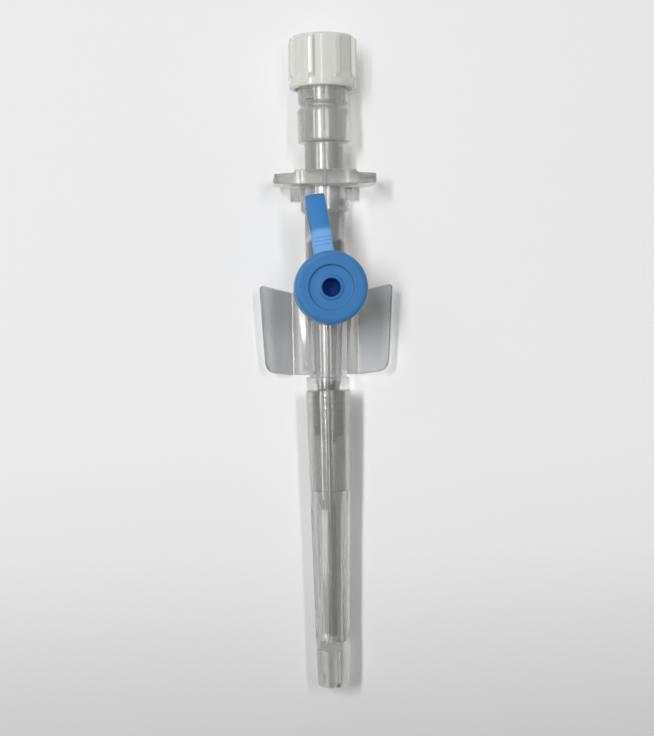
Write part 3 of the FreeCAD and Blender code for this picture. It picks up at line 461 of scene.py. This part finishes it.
def clear_plastic(name, colour, clear, roughness, lets_through, ripple=0.05):
    """Clear moulding: colour dims what is seen through it, clear is its share of transmission."""
    finish = Finish(name, Roughness=roughness, IOR=1.5, Coat_Weight=0.7, Coat_Roughness=0.05)
    haze = finish.noise(700.0, 3.0, 0.6, (1, 0.15, 1))
    milky = tuple(c * 0.92 for c in colour)
    finish.feed("Base Color", finish.mix((haze * 2 - 0.5).clamp(0, 1), milky, colour))
    finish.feed("Transmission Weight", clear)
    let_light_through(finish, lets_through)
    finish.relief(haze, ripple, 0.00004)
    return finish.material


# name, colour, share of transmission, roughness, share of light let through, ripple
hub_clear = clear_plastic("hub_clear", (0.64, 0.645, 0.64), 0.86, 0.18, 0.9)
wing_clear = clear_plastic("wing_clear", (0.645, 0.66, 0.665), 0.86, 0.3, 0.5)
film_clear = clear_plastic("film_clear", (0.95, 0.95, 0.95), 0.8, 0.12, 0.8)
grip_clear = clear_plastic("grip_clear", (0.57, 0.575, 0.55), 0.68, 0.22, 0.62)
cover_clear = clear_plastic("cover_clear", (0.72, 0.72, 0.705), 0.9, 0.18, 0.3, 0.03)
silicone_clear = clear_plastic("silicone_clear", (0.85, 0.85, 0.85), 0.7, 0.3, 0.6)
adhesive_clear = clear_plastic("adhesive_clear", (0.9, 0.9, 0.75), 0.8, 0.1, 0.6)


# %% [markdown]
# ## Tube, opaque plastics and steel
# The catheter tube's wall is too thin to bend light much, so its finish only covers the needle
# a little, and more where it is seen edge on. The white and blue mouldings are opaque with a
# fine grain. Shade is painted deep blue into the port cap's hole, and a painted sheen makes the
# strap paler in streaks where it rises next to the cap, both measured from the port's axis. The
# needle was drawn through a die, which left fine lines along it.

# %% Tube film
def thin_film(name, colour, face_on, edge_on):
    """A wall too thin to bend light: it only covers, little face on and more edge on."""
    finish = Finish(name, Roughness=0.2, IOR=1.5, Specular_IOR_Level=0.15)
    facing = finish.node("ShaderNodeLayerWeight", inputs={"Blend": 0.5}, output="Facing")
    haze = finish.noise(700.0, 3.0, 0.6, (1, 0.2, 1))
    cover = facing**2 * (edge_on - face_on) + face_on
    finish.feed("Alpha", (cover + (haze - 0.5) * 0.05).clamp(0.02, 1))
    finish.feed("Base Color", finish.mix(haze, tuple(c * 0.8 for c in colour), colour))
    return finish.material


tube_clear = thin_film("tube_clear", (0.3, 0.3, 0.295), 0.1, 0.6)


# %% Opaque plastics and steel
def moulded_plastic(
    name, colour, dull, roughness, grain, lets_through, skin, scatter=0.0, mark=None
):
    """Opaque moulding: flow marks mix in a dull colour, and a fine grain breaks the gloss.

    skin is the weight of a glossy coat, and scatter is how much light travels under it. mark
    is a function that is given the finish and its colour, and gives back the colour to use.
    """
    finish = Finish(name, IOR=1.5, Coat_Weight=skin, Coat_Roughness=0.06)
    flow = finish.noise(260.0, 3.0, 0.55, (1, 0.3, 1))
    speck = finish.noise(5200.0, 2.0, 0.5)
    tone = finish.mix((flow * 1.6 - 0.4).clamp(0, 1), dull, colour)
    finish.feed("Base Color", mark(finish, tone) if mark else tone)
    finish.feed("Roughness", (speck * 0.1 + (roughness - 0.05)).clamp(0.05, 1))
    finish.relief(speck + flow * 1.5, grain, 0.00002)
    let_light_through(finish, lets_through)
    finish.feed("Subsurface Weight", scatter)
    finish.feed("Subsurface Scale", 0.0015)
    return finish.material


def from_port(finish):
    """Distance from the port's upright axis, in metres."""
    x = finish.node("ShaderNodeSeparateXYZ", inputs={0: finish.place}, output="X")
    y = finish.node("ShaderNodeSeparateXYZ", inputs={0: finish.place}, output="Y")
    return (x**2 + (y - PORT_Y * MM) ** 2) ** 0.5


HOLE_RADIUS = 1.3
# painted shade: the deep blue painted into the port cap's hole
HOLE_SHADE_BLUE = (0.006, 0.04, 0.2)
# painted sheen on the strap: its pale blue, and how far from the port's axis it reaches
SHEEN_BLUE = (0.2, 0.43, 0.76)
SHEEN_UP_TO = 8.3


def painted_hole_shade(finish, colour):
    """Painted shade: the port cap's narrow hole is painted deep blue, as little light comes out of
    it.
    """
    inside = ((HOLE_RADIUS * MM - from_port(finish)) * 4000 + 0.5).clamp(0, 1)
    return finish.mix(inside, colour, HOLE_SHADE_BLUE)


def painted_strap_sheen(finish, colour):
    """Painted sheen: the strap is painted paler, in fine streaks, next to the cap where it rises
    most and tilts towards the lamps.
    """
    streaks = finish.noise(900.0, 3.0, 0.7, (0.25, 1, 1))
    reach = from_port(finish) * 1000
    bent = ((SHEEN_UP_TO - reach) * 1.6).clamp(0, 1)
    return finish.mix((bent * (streaks * 1.4 + 0.05)).clamp(0, 1), colour, SHEEN_BLUE)


# name, colour, dull colour, roughness, grain, share of light let through, skin
white_plastic = moulded_plastic(
    "white_plastic", (0.7, 0.705, 0.665), (0.65, 0.655, 0.61), 0.26, 0.1, 0.84, 1.0, scatter=0.1
)
blue_plastic = moulded_plastic(
    "blue_plastic", (0.045, 0.192, 0.46), (0.038, 0.17, 0.41), 0.45, 0.3, 0.6, 0.3, mark=painted_hole_shade
)
blue_strap = moulded_plastic(
    "blue_strap", (0.042, 0.205, 0.505), (0.036, 0.185, 0.455), 0.5, 0.3, 0.65, 0.0, mark=painted_strap_sheen
)
filter_white = moulded_plastic(
    "filter_white", (0.78, 0.78, 0.76), (0.62, 0.62, 0.6), 0.85, 0.9, 0.3, 0.0
)


def drawn_steel(name, colour, roughness):
    """Steel tube: fine lines run along it, from the die that it was drawn through."""
    finish = Finish(name, Metallic=1.0)
    lines = finish.noise(9000.0, 2.0, 0.6, (1, 0.02, 1))
    dark = tuple(c * 0.72 for c in colour)
    finish.feed("Base Color", finish.mix(lines, dark, colour))
    finish.feed("Roughness", (lines * 0.1 + roughness).clamp(0.05, 1))
    finish.relief(lines, 0.2, 0.00001)
    return finish.material


needle_steel = drawn_steel("needle_steel", (0.36, 0.36, 0.35), 0.1)
ferrule_steel = drawn_steel("ferrule_steel", (0.5, 0.5, 0.5), 0.18)
print("materials:", len(bpy.data.materials))


# %% [markdown]
# ## Dressing a piece
# Each finished piece gets three things: its finish, the body that carries it when a joint moves,
# and the plain solid that it stands for, which is hidden.

# %% Dress a piece
def dress(piece, material, body, node):
    """Give a new piece its material, the body it rides on and the node it stands for."""
    piece.data.materials.append(material)
    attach(piece, body)
    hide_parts(node)
    return piece


# %% [markdown]
# ## Pieces that keep the frame's shape
# The hub is one moulding with many joined forms, and the hidden valve, bush, filter and glue
# are plain turned rings. Their solids are already right. A copy of each is merged, so that it
# can be shaded smooth, and it gets the finish of the real material.


# %% Merged copies of CAD nodes
def from_node(name, node, material, body, sharp=28.0):
    """Copy a node's mesh, merge its loose triangles and shade it smooth between real edges."""
    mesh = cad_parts[node].data.copy()
    mesh.materials.clear()
    return dress(finish_mesh(name, mesh, sharp), material, body, node)


from_node("hub_body", "catheter_hub", hub_clear, "hub")
from_node("valve_sleeve", "port_valve", silicone_clear, "hub")
from_node("tube_bush", "ferrule", ferrule_steel, "hub")
from_node("needle_glue", "needle_bond", adhesive_clear, "needle_unit")
from_node("air_filter", "vent_filter", filter_white, "needle_unit")

# %% [markdown]
# ## White cap
# The cap is a turned cup with eight narrow grip ribs that run back from its ring. A rib is a
# raised stretch of the outer wall, so it is added to the radius, and it fades out just before
# the rounded end. The thread inside is a helix added to the inner wall in the same way.

# %% Cap outline, ribs and thread
cap_low, cap_high = span("luer_lock_cap")
CAP_FRONT = cap_low[1] - PORT_Y
CAP_REAR = cap_high[1] - PORT_Y
CAP_CORE = 4.45
CAP_BORE = 3.98
CAP_RIB_RISE = 0.48
RIBS = 8
THREAD_PITCH = 2.5
THREAD_RISE = 0.3
CAP_FLOOR = CAP_REAR - 1.3
PLUG_END = CAP_FLOOR - 3.9
cap_outline = soften(
    [
        (0, CAP_FLOOR, 0),
        (1.55, CAP_FLOOR),
        (1.55, PLUG_END, 0.15),
        (2.15, PLUG_END, 0.15),
        (2.15, CAP_FLOOR),
        (CAP_BORE, CAP_FLOOR),
        (CAP_BORE, CAP_FRONT, 0.12),
        (4.66, CAP_FRONT, 0.3),
        (4.68, CAP_FRONT + 0.95, 0.35),
        (CAP_CORE, CAP_FRONT + 1.9, 0.8),
        (CAP_CORE, CAP_REAR, 0.55),
        (0, CAP_REAR, 0),
    ],
    closed=False,
    steps=7,
)
cap_outline = refine(cap_outline, 0.16, closed=False)


def cap_wave(r, s, a):
    """Radius plus ribs outside, and plus a helical thread on the inner wall."""
    outside = smooth_step(r, 4.2, 4.4)
    length = smooth_step(s, CAP_FRONT + 0.9, CAP_FRONT + 1.9)
    length = length * (1 - smooth_step(s, CAP_REAR - 0.75, CAP_REAR - 0.25))
    ribs = CAP_RIB_RISE * ridge(a, r, RIBS, 0.78, 0.1, np.pi / RIBS)
    inside = pulse(r, 3.9, 4.05, 0.04)
    turn = np.cos(2 * np.pi * s / THREAD_PITCH - a)
    thread = -THREAD_RISE * smooth_step(turn, 0.35, 0.75)
    thread = thread * pulse(s, CAP_FRONT + 0.5, CAP_REAR - 2.6, 0.3)
    return r + outside * length * ribs + inside * thread, s


cap = lathe("white_cap", cap_outline, turns=360, wave=cap_wave, closed=False)
dress(cap, white_plastic, "luer_cap", "luer_lock_cap")

# %% [markdown]
# ## Clear chamber and needle grip
# Both are turned mouldings. The chamber has a neck, a body with soft shoulders, a narrow waist
# and a collar that carries two raised keys. The grip's thumb plate is the one flat form: its
# edge is written as a radius that depends on the angle, so the plate is also a turned surface.

# %% Chamber
CHAMBER_REAR = span("flashback_chamber")[1][1] - PORT_Y
WAIST = 25.3
NECK_FRONT = 16.5
FILTER_SEAT = CHAMBER_REAR - 4.1
KEY_TURN = -np.radians(35)
chamber_outline = soften(
    [
        (2.05, NECK_FRONT),
        (2.7, NECK_FRONT, 0.12),
        (2.7, 20.5, 0.25),
        (3.6, 20.55, 0.4),
        (3.6, WAIST - 0.35, 1.1),
        (3.15, WAIST + 0.25, 0.3),
        (3.5, WAIST + 0.75, 0.25),
        (3.5, CAP_FRONT, 0.2),
        (3.3, CAP_FRONT + 0.5, 0.2),
        (3.3, CHAMBER_REAR, 0.15),
        (2.2, CHAMBER_REAR),
        (2.2, FILTER_SEAT),
        (2.05, FILTER_SEAT),
        (2.05, 20.0),
    ]
)
chamber_outline = refine(chamber_outline, 0.14)


def chamber_wave(r, s, a):
    """Radius plus two keys on the collar and two thread lugs at the rear end."""
    outside = smooth_step(r, 2.9, 3.1)
    keys = 0.3 * ridge(a, r, 2, 1.2, 0.07, KEY_TURN)
    keys = keys * pulse(s, CAP_FRONT - 1.7, CAP_FRONT - 0.5, 0.06)
    lugs = 0.5 * ridge(a, r, 2, 1.9, 0.35)
    lugs = lugs * pulse(s, CHAMBER_REAR - 1.1, CHAMBER_REAR - 0.05, 0.05)
    return r + outside * (keys + lugs), s


chamber = lathe("clear_chamber", chamber_outline, turns=240, wave=chamber_wave)
dress(chamber, grip_clear, "needle_unit", "flashback_chamber")

# %% Needle grip
grip_low, grip_high = span("needle_grip")
BOSS_FRONT = 14.4
BOSS_REAR = NECK_FRONT
BOSS = 3.5
CONE_FRONT = grip_low[1] - PORT_Y
PLATE_FRONT = BOSS_FRONT + 0.1
PLATE_RIM = 2 * BOSS
PLATE_TOP = 4.35
PLATE_FLAT = 3.3
LOBE_END = 2.5
LOBE_STEP = 0.4
LOBE_SLOPE = 0.25
LOBE_REACH = grip_high[0]
CORNER_POWER = 44
grip_outline = soften(
    [
        (0.36, CONE_FRONT),
        (1.9, CONE_FRONT, 0.12),
        (2.1, BOSS_FRONT, 0.15),
        (BOSS, BOSS_FRONT, 0.3),
        (BOSS, PLATE_FRONT, 0.05),
        (PLATE_RIM, PLATE_FRONT, 0.15),
        (PLATE_RIM, BOSS_REAR, 0.15),
        (2.05, BOSS_REAR),
        (2.05, 20.0, 0.1),
        (0.36, 20.0),
    ]
)
grip_outline = refine(grip_outline, 0.16)


def plate_edge(a):
    """Distance from the axis to the plate's edge: the nearest of its straight sides, softened.

    The sides are the lines x sin b + z cos b = d for the top, the sloping shoulders and the ends,
    and a power mean of their distances rounds the corners between them.
    """
    sides = ((0, PLATE_TOP), (np.pi, PLATE_TOP), (np.pi / 2, LOBE_REACH), (-np.pi / 2, LOBE_REACH))
    slope = np.arctan2(PLATE_TOP - LOBE_END, LOBE_REACH - PLATE_FLAT)
    reach = PLATE_FLAT * np.sin(slope) + PLATE_TOP * np.cos(slope)
    sides += tuple((b, reach) for b in (slope, -slope, np.pi - slope, slope - np.pi))
    near = sum(np.maximum(np.cos(a - b) / d, 0) ** CORNER_POWER for b, d in sides)
    return near ** (-1 / CORNER_POWER)


def grip_wave(r, s, a):
    """Between the boss and the plate's rim the radius is stretched to the plate's edge.

    Then the lobes lose a step at the back and slope a little at the front, both by how far
    out they are.
    """
    share = np.clip((r - BOSS) / (PLATE_RIM - BOSS), 0, 1) * (r > BOSS + 0.005)
    r = np.where(share > 0, BOSS + share * (plate_edge(a) - BOSS), r)
    out = np.abs(r * np.sin(a))
    middle = (PLATE_FRONT + BOSS_REAR) / 2
    step = LOBE_STEP * smooth_step(out, 3.95, 4.6) * (s > middle)
    slope = LOBE_SLOPE * smooth_step(out, 4.2, PLATE_RIM) * (s < middle)
    return r, s + (share > 0) * (slope - step)


grip = lathe("needle_hold", grip_outline, turns=288, wave=grip_wave)
dress(grip, grip_clear, "needle_unit", "needle_grip")

# %% [markdown]
# ## Needle and catheter tube
# The needle is a steel tube whose front end is ground to a slope, so each point of that end
# moves back by how high it stands. The soft tube over it has a thinned tip, and a flared rear
# end that the bush in the hub holds.

# %% Needle and tube
NEEDLE_TIP = needle_low[1] - PORT_Y
NEEDLE_REAR = needle_high[1] - PORT_Y
NEEDLE_R = 0.35
NEEDLE_BORE = 0.23
BEVEL = 2.2
needle_outline = soften(
    [
        (NEEDLE_BORE, NEEDLE_TIP, 0.01),
        (NEEDLE_R, NEEDLE_TIP, 0.01),
        (NEEDLE_R, NEEDLE_REAR, 0.03),
        (NEEDLE_BORE, NEEDLE_REAR, 0.03),
    ]
)
needle_outline = refine(needle_outline, 1.2)


def needle_wave(r, s, a):
    """Stations in front of the ground face move back to tip + bevel (R + r cos a) / 2R."""
    face = NEEDLE_TIP + BEVEL * (NEEDLE_R + r * np.cos(a)) / (2 * NEEDLE_R)
    return r, np.maximum(s, face)


needle = lathe("steel_needle", needle_outline, turns=48, wave=needle_wave)
dress(needle, needle_steel, "needle_unit", "needle")

tube_low, tube_high = span("catheter_tube")
TUBE_TIP = tube_low[1] - PORT_Y
TUBE_REAR = tube_high[1] - PORT_Y
FLARE = TUBE_REAR - 2.0
FLARE_END = TUBE_REAR - 2.8
tube_outline = soften(
    [
        (0.52, TUBE_REAR, 0.02),
        (0.6, TUBE_REAR, 0.02),
        (0.6, FLARE, 0.2),
        (0.45, FLARE_END, 0.2),
        (0.45, TUBE_TIP + 1.4, 0.2),
        (0.4, TUBE_TIP, 0.01),
        (0.37, TUBE_TIP, 0.01),
        (0.37, FLARE_END, 0.2),
        (0.52, FLARE, 0.2),
    ]
)
tube = lathe("soft_tube", refine(tube_outline, 1.2), turns=48)
dress(tube, tube_clear, "hub", "catheter_tube")

# %% [markdown]
# ## Needle cover
# The cover is a long tapered sheath. Inside, a wide bore takes the hub's nose down to a ledge,
# and a narrow bore goes on to near the tip. Outside, eight flat flutes run from the ledge to
# the end of the bore, and two vent slits cut the solid tip. Fine rings ripple the mouth's bore.
# They need close rows of points, so the outline is fine there and coarse everywhere else.

# %% Cover outline
cover_low, cover_high = span("needle_cover")
MOUTH = cover_high[1] - PORT_Y
TIP = cover_low[1] - PORT_Y
MOUTH_BORE = 13.7
SOLID_TIP = 6.3
MOUTH_R = 3.09
TIP_R = 2.19
LEDGE = MOUTH - MOUTH_BORE
BORE_END = TIP + SOLID_TIP
FLUTES = 8
FLUTE_WIDTH = 1.3
FLUTE_DEPTH = 0.15
SLIT_WIDTH = 0.5
SLIT_TURN = np.radians(17)
cover_outline = soften(
    [
        (0, BORE_END, 0),
        (1.25, BORE_END, 0.25),
        (1.75, LEDGE, 0.06),
        (2.28, LEDGE, 0.1),
        (2.42, MOUTH + 0.11, 0.1),
        (MOUTH_R, MOUTH + 0.11, 0.16),
        (TIP_R, TIP, 1.0),
        (0, TIP, 0),
    ],
    closed=False,
    steps=9,
)

# %% Close rows where the mouth has rings
RINGS_FROM = MOUTH - 6.4
RING_PITCH = 0.9
RING_SWING = 0.025
BORE_SIDE = 2.6  # the mouth's bore is narrower than this, and its skin wider
coarse = refine(cover_outline, 0.29, closed=False)
fine = refine(cover_outline, 0.1, closed=False)
ringed = [(line[:, 0] < BORE_SIDE) & (line[:, 1] > RINGS_FROM) for line in (coarse, fine)]
first = np.argmax(ringed[0])
after = first + ringed[0].sum()
cover_outline = np.concatenate([coarse[:first], fine[ringed[1]], coarse[after:]])


# %% Turn the cover
def cover_wave(r, s, a):
    """Flutes: the radius drops to a flat floor (R - depth) / cos a. Slits: it drops by their depth.

    Inside the mouth fine rings ripple the bore: the radius swings by a cosine of the station.
    The slits are cut only in the solid tip, in front of the bore's end.
    """
    wall = MOUTH_R + (s - MOUTH) * (MOUTH_R - TIP_R) / (MOUTH - TIP)
    outside = smooth_step(r, wall - 0.3, wall - 0.05)
    along = pulse(s, BORE_END + 0.6, LEDGE - 1.8, 0.6)
    floor = (wall - FLUTE_DEPTH) / np.cos(off_line(a, FLUTES, np.pi / FLUTES))
    band = ridge(a, r, FLUTES, FLUTE_WIDTH, 0.11, np.pi / FLUTES) * along * outside
    r = r + band * np.minimum(floor - r, 0)
    mouth = pulse(s, RINGS_FROM + 0.4, MOUTH - 0.7, 0.2) * (r < BORE_SIDE)
    r = r + RING_SWING * mouth * np.cos(2 * np.pi * s / RING_PITCH)
    slits = ridge(a, r, 2, SLIT_WIDTH, 0.03, SLIT_TURN)
    slits = slits * (1 - smooth_step(s, BORE_END - 1.45, BORE_END - 1.35))
    depth = np.minimum(1.3, r * 0.6) * slits * smooth_step(r, 0.9, 1.3)
    return r - depth * (s < BORE_END - 0.02), s


cover = lathe("clear_cover", cover_outline, turns=240, wave=cover_wave, closed=False)
dress(cover, cover_clear, "cover", "needle_cover")

# %% [markdown]
# ## Wings and their hinges
# A wing is a flat flap with a rounded rim. Its outline is drawn flat, the rim is carried round
# it as a half circle, and the whole is turned up about the hinge line. Between plate and wing
# the real moulding has a thin film that bends, so a film is added that follows both.

# %% Wings
HINGE_X = 4.9
HINGE_Z = 0.35
WING_LIFT = np.radians(40.0)
HALF_WING = 0.25
PLATE_REAR_Y = 0.1
PLATE_FRONT_Y = -11.5


def lift(points, side):
    """Turn flat points (u, y, h) about the hinge line: x = side (X + u cos t - h sin t)."""
    u, y, h = points[..., 0], points[..., 1], points[..., 2]
    x = HINGE_X + u * np.cos(WING_LIFT) - h * np.sin(WING_LIFT)
    z = HINGE_Z + u * np.sin(WING_LIFT) + h * np.cos(WING_LIFT)
    return np.stack([side * x, PORT_Y + y, z], axis=-1)


def inset(line, amount):
    """Move a closed line that runs anticlockwise inwards, along its normals."""
    along = np.roll(line, -1, axis=0) - np.roll(line, 1, axis=0)
    along /= np.linalg.norm(along, axis=1)[:, None]
    return line + amount * np.stack([-along[:, 1], along[:, 0]], axis=1)


wing_flat = soften(
    [
        (-0.2, PLATE_FRONT_Y, 0.1),
        (4.75, PLATE_FRONT_Y + 0.45, 1.6),
        (5.65, PLATE_REAR_Y + 0.95, 0.8),
        (-0.2, PLATE_REAR_Y, 0.1),
    ],
    steps=9,
)
wing_flat = refine(wing_flat, 0.3)


def make_wing(name, side, node):
    """The outline moves in by h (1 - cos b) and up by h sin b, b going from -90 to 90 degrees."""
    rings = []
    for b in np.radians(np.linspace(-90, 90, 9)):
        line = inset(wing_flat, HALF_WING * (1 - np.cos(b)))
        rings.append(np.column_stack([line, np.full(len(line), HALF_WING * np.sin(b))]))
    points = lift(np.array(rings), side)
    wing = surface(name, points, (False, True), fill=True)
    return dress(wing, wing_clear, node, node)


make_wing("left_wing", -1, "wing_left")
make_wing("right_wing", 1, "wing_right")

# %% Hinge films
FILM = 0.2
FILM_LINE = np.array([(4.35, 0.35), (4.72, 0.33), (4.95, 0.42), (5.35, 0.73)])


def make_film(name, side):
    """A thin strip from the plate's edge to the wing's root: its middle line bends at the hinge.

    Its section is the middle line moved out by half its thickness along its normals, to each
    side, and it runs on straight along Y.
    """
    way = np.gradient(FILM_LINE, axis=0)
    normal = np.stack([-way[:, 1], way[:, 0]], axis=1) / np.linalg.norm(way, axis=1)[:, None]
    upper, lower = FILM_LINE + normal * FILM / 2, FILM_LINE - normal * FILM / 2
    section = np.concatenate([upper, lower[::-1]])
    stations = PORT_Y + np.linspace(PLATE_FRONT_Y + 0.1, PLATE_REAR_Y - 0.1, 24)
    x = side * section[:, 0][:, None] + 0 * stations
    z = section[:, 1][:, None] + 0 * stations
    points = np.stack([x, stations + 0 * x, z], axis=-1)
    film = surface(name, points, (True, False), fill=True)
    film.data.materials.append(film_clear)
    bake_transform(film)


make_film("left_hinge_film", -1)
make_film("right_hinge_film", 1)

# %% [markdown]
# ## Blue port cap, strap and ring
# The three are one soft moulding. The cap has a rounded rim, a shallow recess and a hole with a
# raised lip. The strap leaves the cap's side, bends back at its far end and returns to the
# ring, and three fine creases cross it where it is bent up most. Its flat sides are a loop that
# stays open, so they are closed along its middle line and not by one face across the loop.

# %% Port cap and ring
CAP_TOP = port_high[2] - AXIS_Z
SKIRT_FOOT = CAP_TOP - 4.6
STOPPER_FOOT = SKIRT_FOOT - 1.0
SKIRT_CEILING = CAP_TOP - 2.0
RECESS = CAP_TOP - 0.6
LIP = CAP_TOP - 0.42
port_outline = soften(
    [
        (0, STOPPER_FOOT, 0),
        (1.85, STOPPER_FOOT, 0.3),
        (1.85, SKIRT_CEILING, 0.05),
        (3.35, SKIRT_CEILING, 0.05),
        (3.35, SKIRT_FOOT, 0.1),
        (4.9, SKIRT_FOOT, 0.3),
        (4.9, CAP_TOP, 0.85),
        (3.0, CAP_TOP, 0.2),
        (3.0, RECESS, 0.12),
        (1.72, RECESS, 0.1),
        (1.55, LIP, 0.1),
        (1.2, LIP, 0.12),
        (1.12, CAP_TOP - 3.0, 0.2),
        (0, CAP_TOP - 4.0, 0),
    ],
    closed=False,
    steps=9,
)
port_outline = refine(port_outline, 0.3, closed=False)
port_cap = lathe("blue_cap", port_outline, "port", turns=200, closed=False)
dress(port_cap, blue_plastic, "port_cap", "port_cap")

ring_low, ring_high = span("port_cap_ring")
RING_FLOOR, RING_TOP = ring_low[2] - AXIS_Z, ring_high[2] - AXIS_Z
ring_outline = soften(
    [(3.05, RING_FLOOR), (4.4, RING_FLOOR, 0.35), (4.4, RING_TOP, 0.35), (3.05, RING_TOP)]
)
ring = lathe("blue_ring", refine(ring_outline, 0.3), "port", turns=160)
dress(ring, blue_plastic, "cap_swivel", "port_cap_ring")

# %% Strap seen from its side
STRAP_WIDTH = 2.57
HALF_STRAP = 0.4
STRAP_REACH = 12.95
STRAP_INNER = STRAP_REACH - 2 * HALF_STRAP
STRAP_MIDDLE = STRAP_REACH - HALF_STRAP
CREST_AT = 7.6
ROOT_Z = SKIRT_FOOT + 1.2
CREST_Z = ROOT_Z + 0.55
END_Z = ROOT_Z - 1.1
RING_Z = (RING_FLOOR + RING_TOP) / 2
strap_side = soften(
    [
        (4.7, ROOT_Z - HALF_STRAP, 0.02),
        (CREST_AT, CREST_Z - HALF_STRAP, 2.2),
        (STRAP_INNER, END_Z - HALF_STRAP, 0.35),
        (STRAP_INNER, RING_Z + HALF_STRAP, 0.35),
        (4.2, RING_Z + HALF_STRAP, 0.02),
        (4.2, RING_Z - HALF_STRAP, 0.02),
        (STRAP_REACH, RING_Z - HALF_STRAP, 1.1),
        (STRAP_REACH, END_Z + HALF_STRAP, 1.2),
        (CREST_AT, CREST_Z + HALF_STRAP, 2.8),
        (4.7, ROOT_Z + HALF_STRAP, 0.02),
    ],
    steps=13,
)
strap_side = refine(strap_side, 0.07)
strap_middle = soften(
    [
        (4.95, ROOT_Z, 0),
        (CREST_AT, CREST_Z, 2.5),
        (STRAP_MIDDLE, END_Z, 0.75),
        (STRAP_MIDDLE, RING_Z, 0.75),
        (4.45, RING_Z, 0),
    ],
    closed=False,
)
strap_middle = refine(strap_middle, 0.24, closed=False)
print("strap outline:", len(strap_side), "points, middle line:", len(strap_middle))

# %% Strap
STRAP_EDGE = 0.22
STRAP_TURN = np.radians(8.0)
TWIST = np.tan(np.radians(-9.0))
CREASES_AT = (6.05, 6.55, 7.05)
CREASE_WIDTH = 0.12
CREASE_RISE = 0.06


def make_strap():
    """The side outline moves in by e (1 - cos b) as it goes out by e sin b at each edge.

    The flat sides are closed by drawing each outline point to the nearest middle point.
    Creases lift the top skin by three narrow bumps of height c exp(-(d / w)^2), and a twist
    tips the stretch next to the cap: it lowers each point by its distance across times tan t.
    """
    top = strap_side[:, 1] > CREST_Z - 0.3
    away = [(strap_side[:, 0] - at) / CREASE_WIDTH for at in CREASES_AT]
    bumps = sum(np.exp(-(d**2)) for d in away)
    line = strap_side + np.stack([0 * bumps, CREASE_RISE * bumps * top], axis=1)
    rows = []
    for b in np.radians(np.linspace(-90, 90, 11)):
        out = np.sign(b) * (STRAP_WIDTH / 2 - STRAP_EDGE) + STRAP_EDGE * np.sin(b)
        flat = inset(line, STRAP_EDGE * (1 - np.cos(b)))
        rows.append(np.column_stack([np.full(len(flat), out), flat]))
    for end, flat in ((0, rows[0]), (len(rows) + 1, rows[-1])):
        gaps = np.linalg.norm(flat[:, None, 1:] - strap_middle[None], axis=2)
        rows.insert(end, np.column_stack([flat[:, 0], strap_middle[gaps.argmin(axis=1)]]))
    across, reach, height = np.moveaxis(np.array(rows), -1, 0)
    height = height - across * TWIST * pulse(reach, 5.0, 8.4, 0.7) * (height > END_Z - 0.6)
    x = across * np.cos(STRAP_TURN) - reach * np.sin(STRAP_TURN)
    y = across * np.sin(STRAP_TURN) + reach * np.cos(STRAP_TURN)
    points = np.stack([x, PORT_Y + y, AXIS_Z + height], axis=-1)
    return surface("blue_strap", points, (False, True), fill=True)


strap = make_strap()
strap.data.materials.append(blue_strap)
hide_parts("port_cap_strap")
low_end = (0, PORT_Y * MM, (AXIS_Z + RING_TOP + 0.1) * MM)
high_end = (0, PORT_Y * MM, (AXIS_Z + ROOT_Z - 0.5) * MM)
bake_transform(strap)
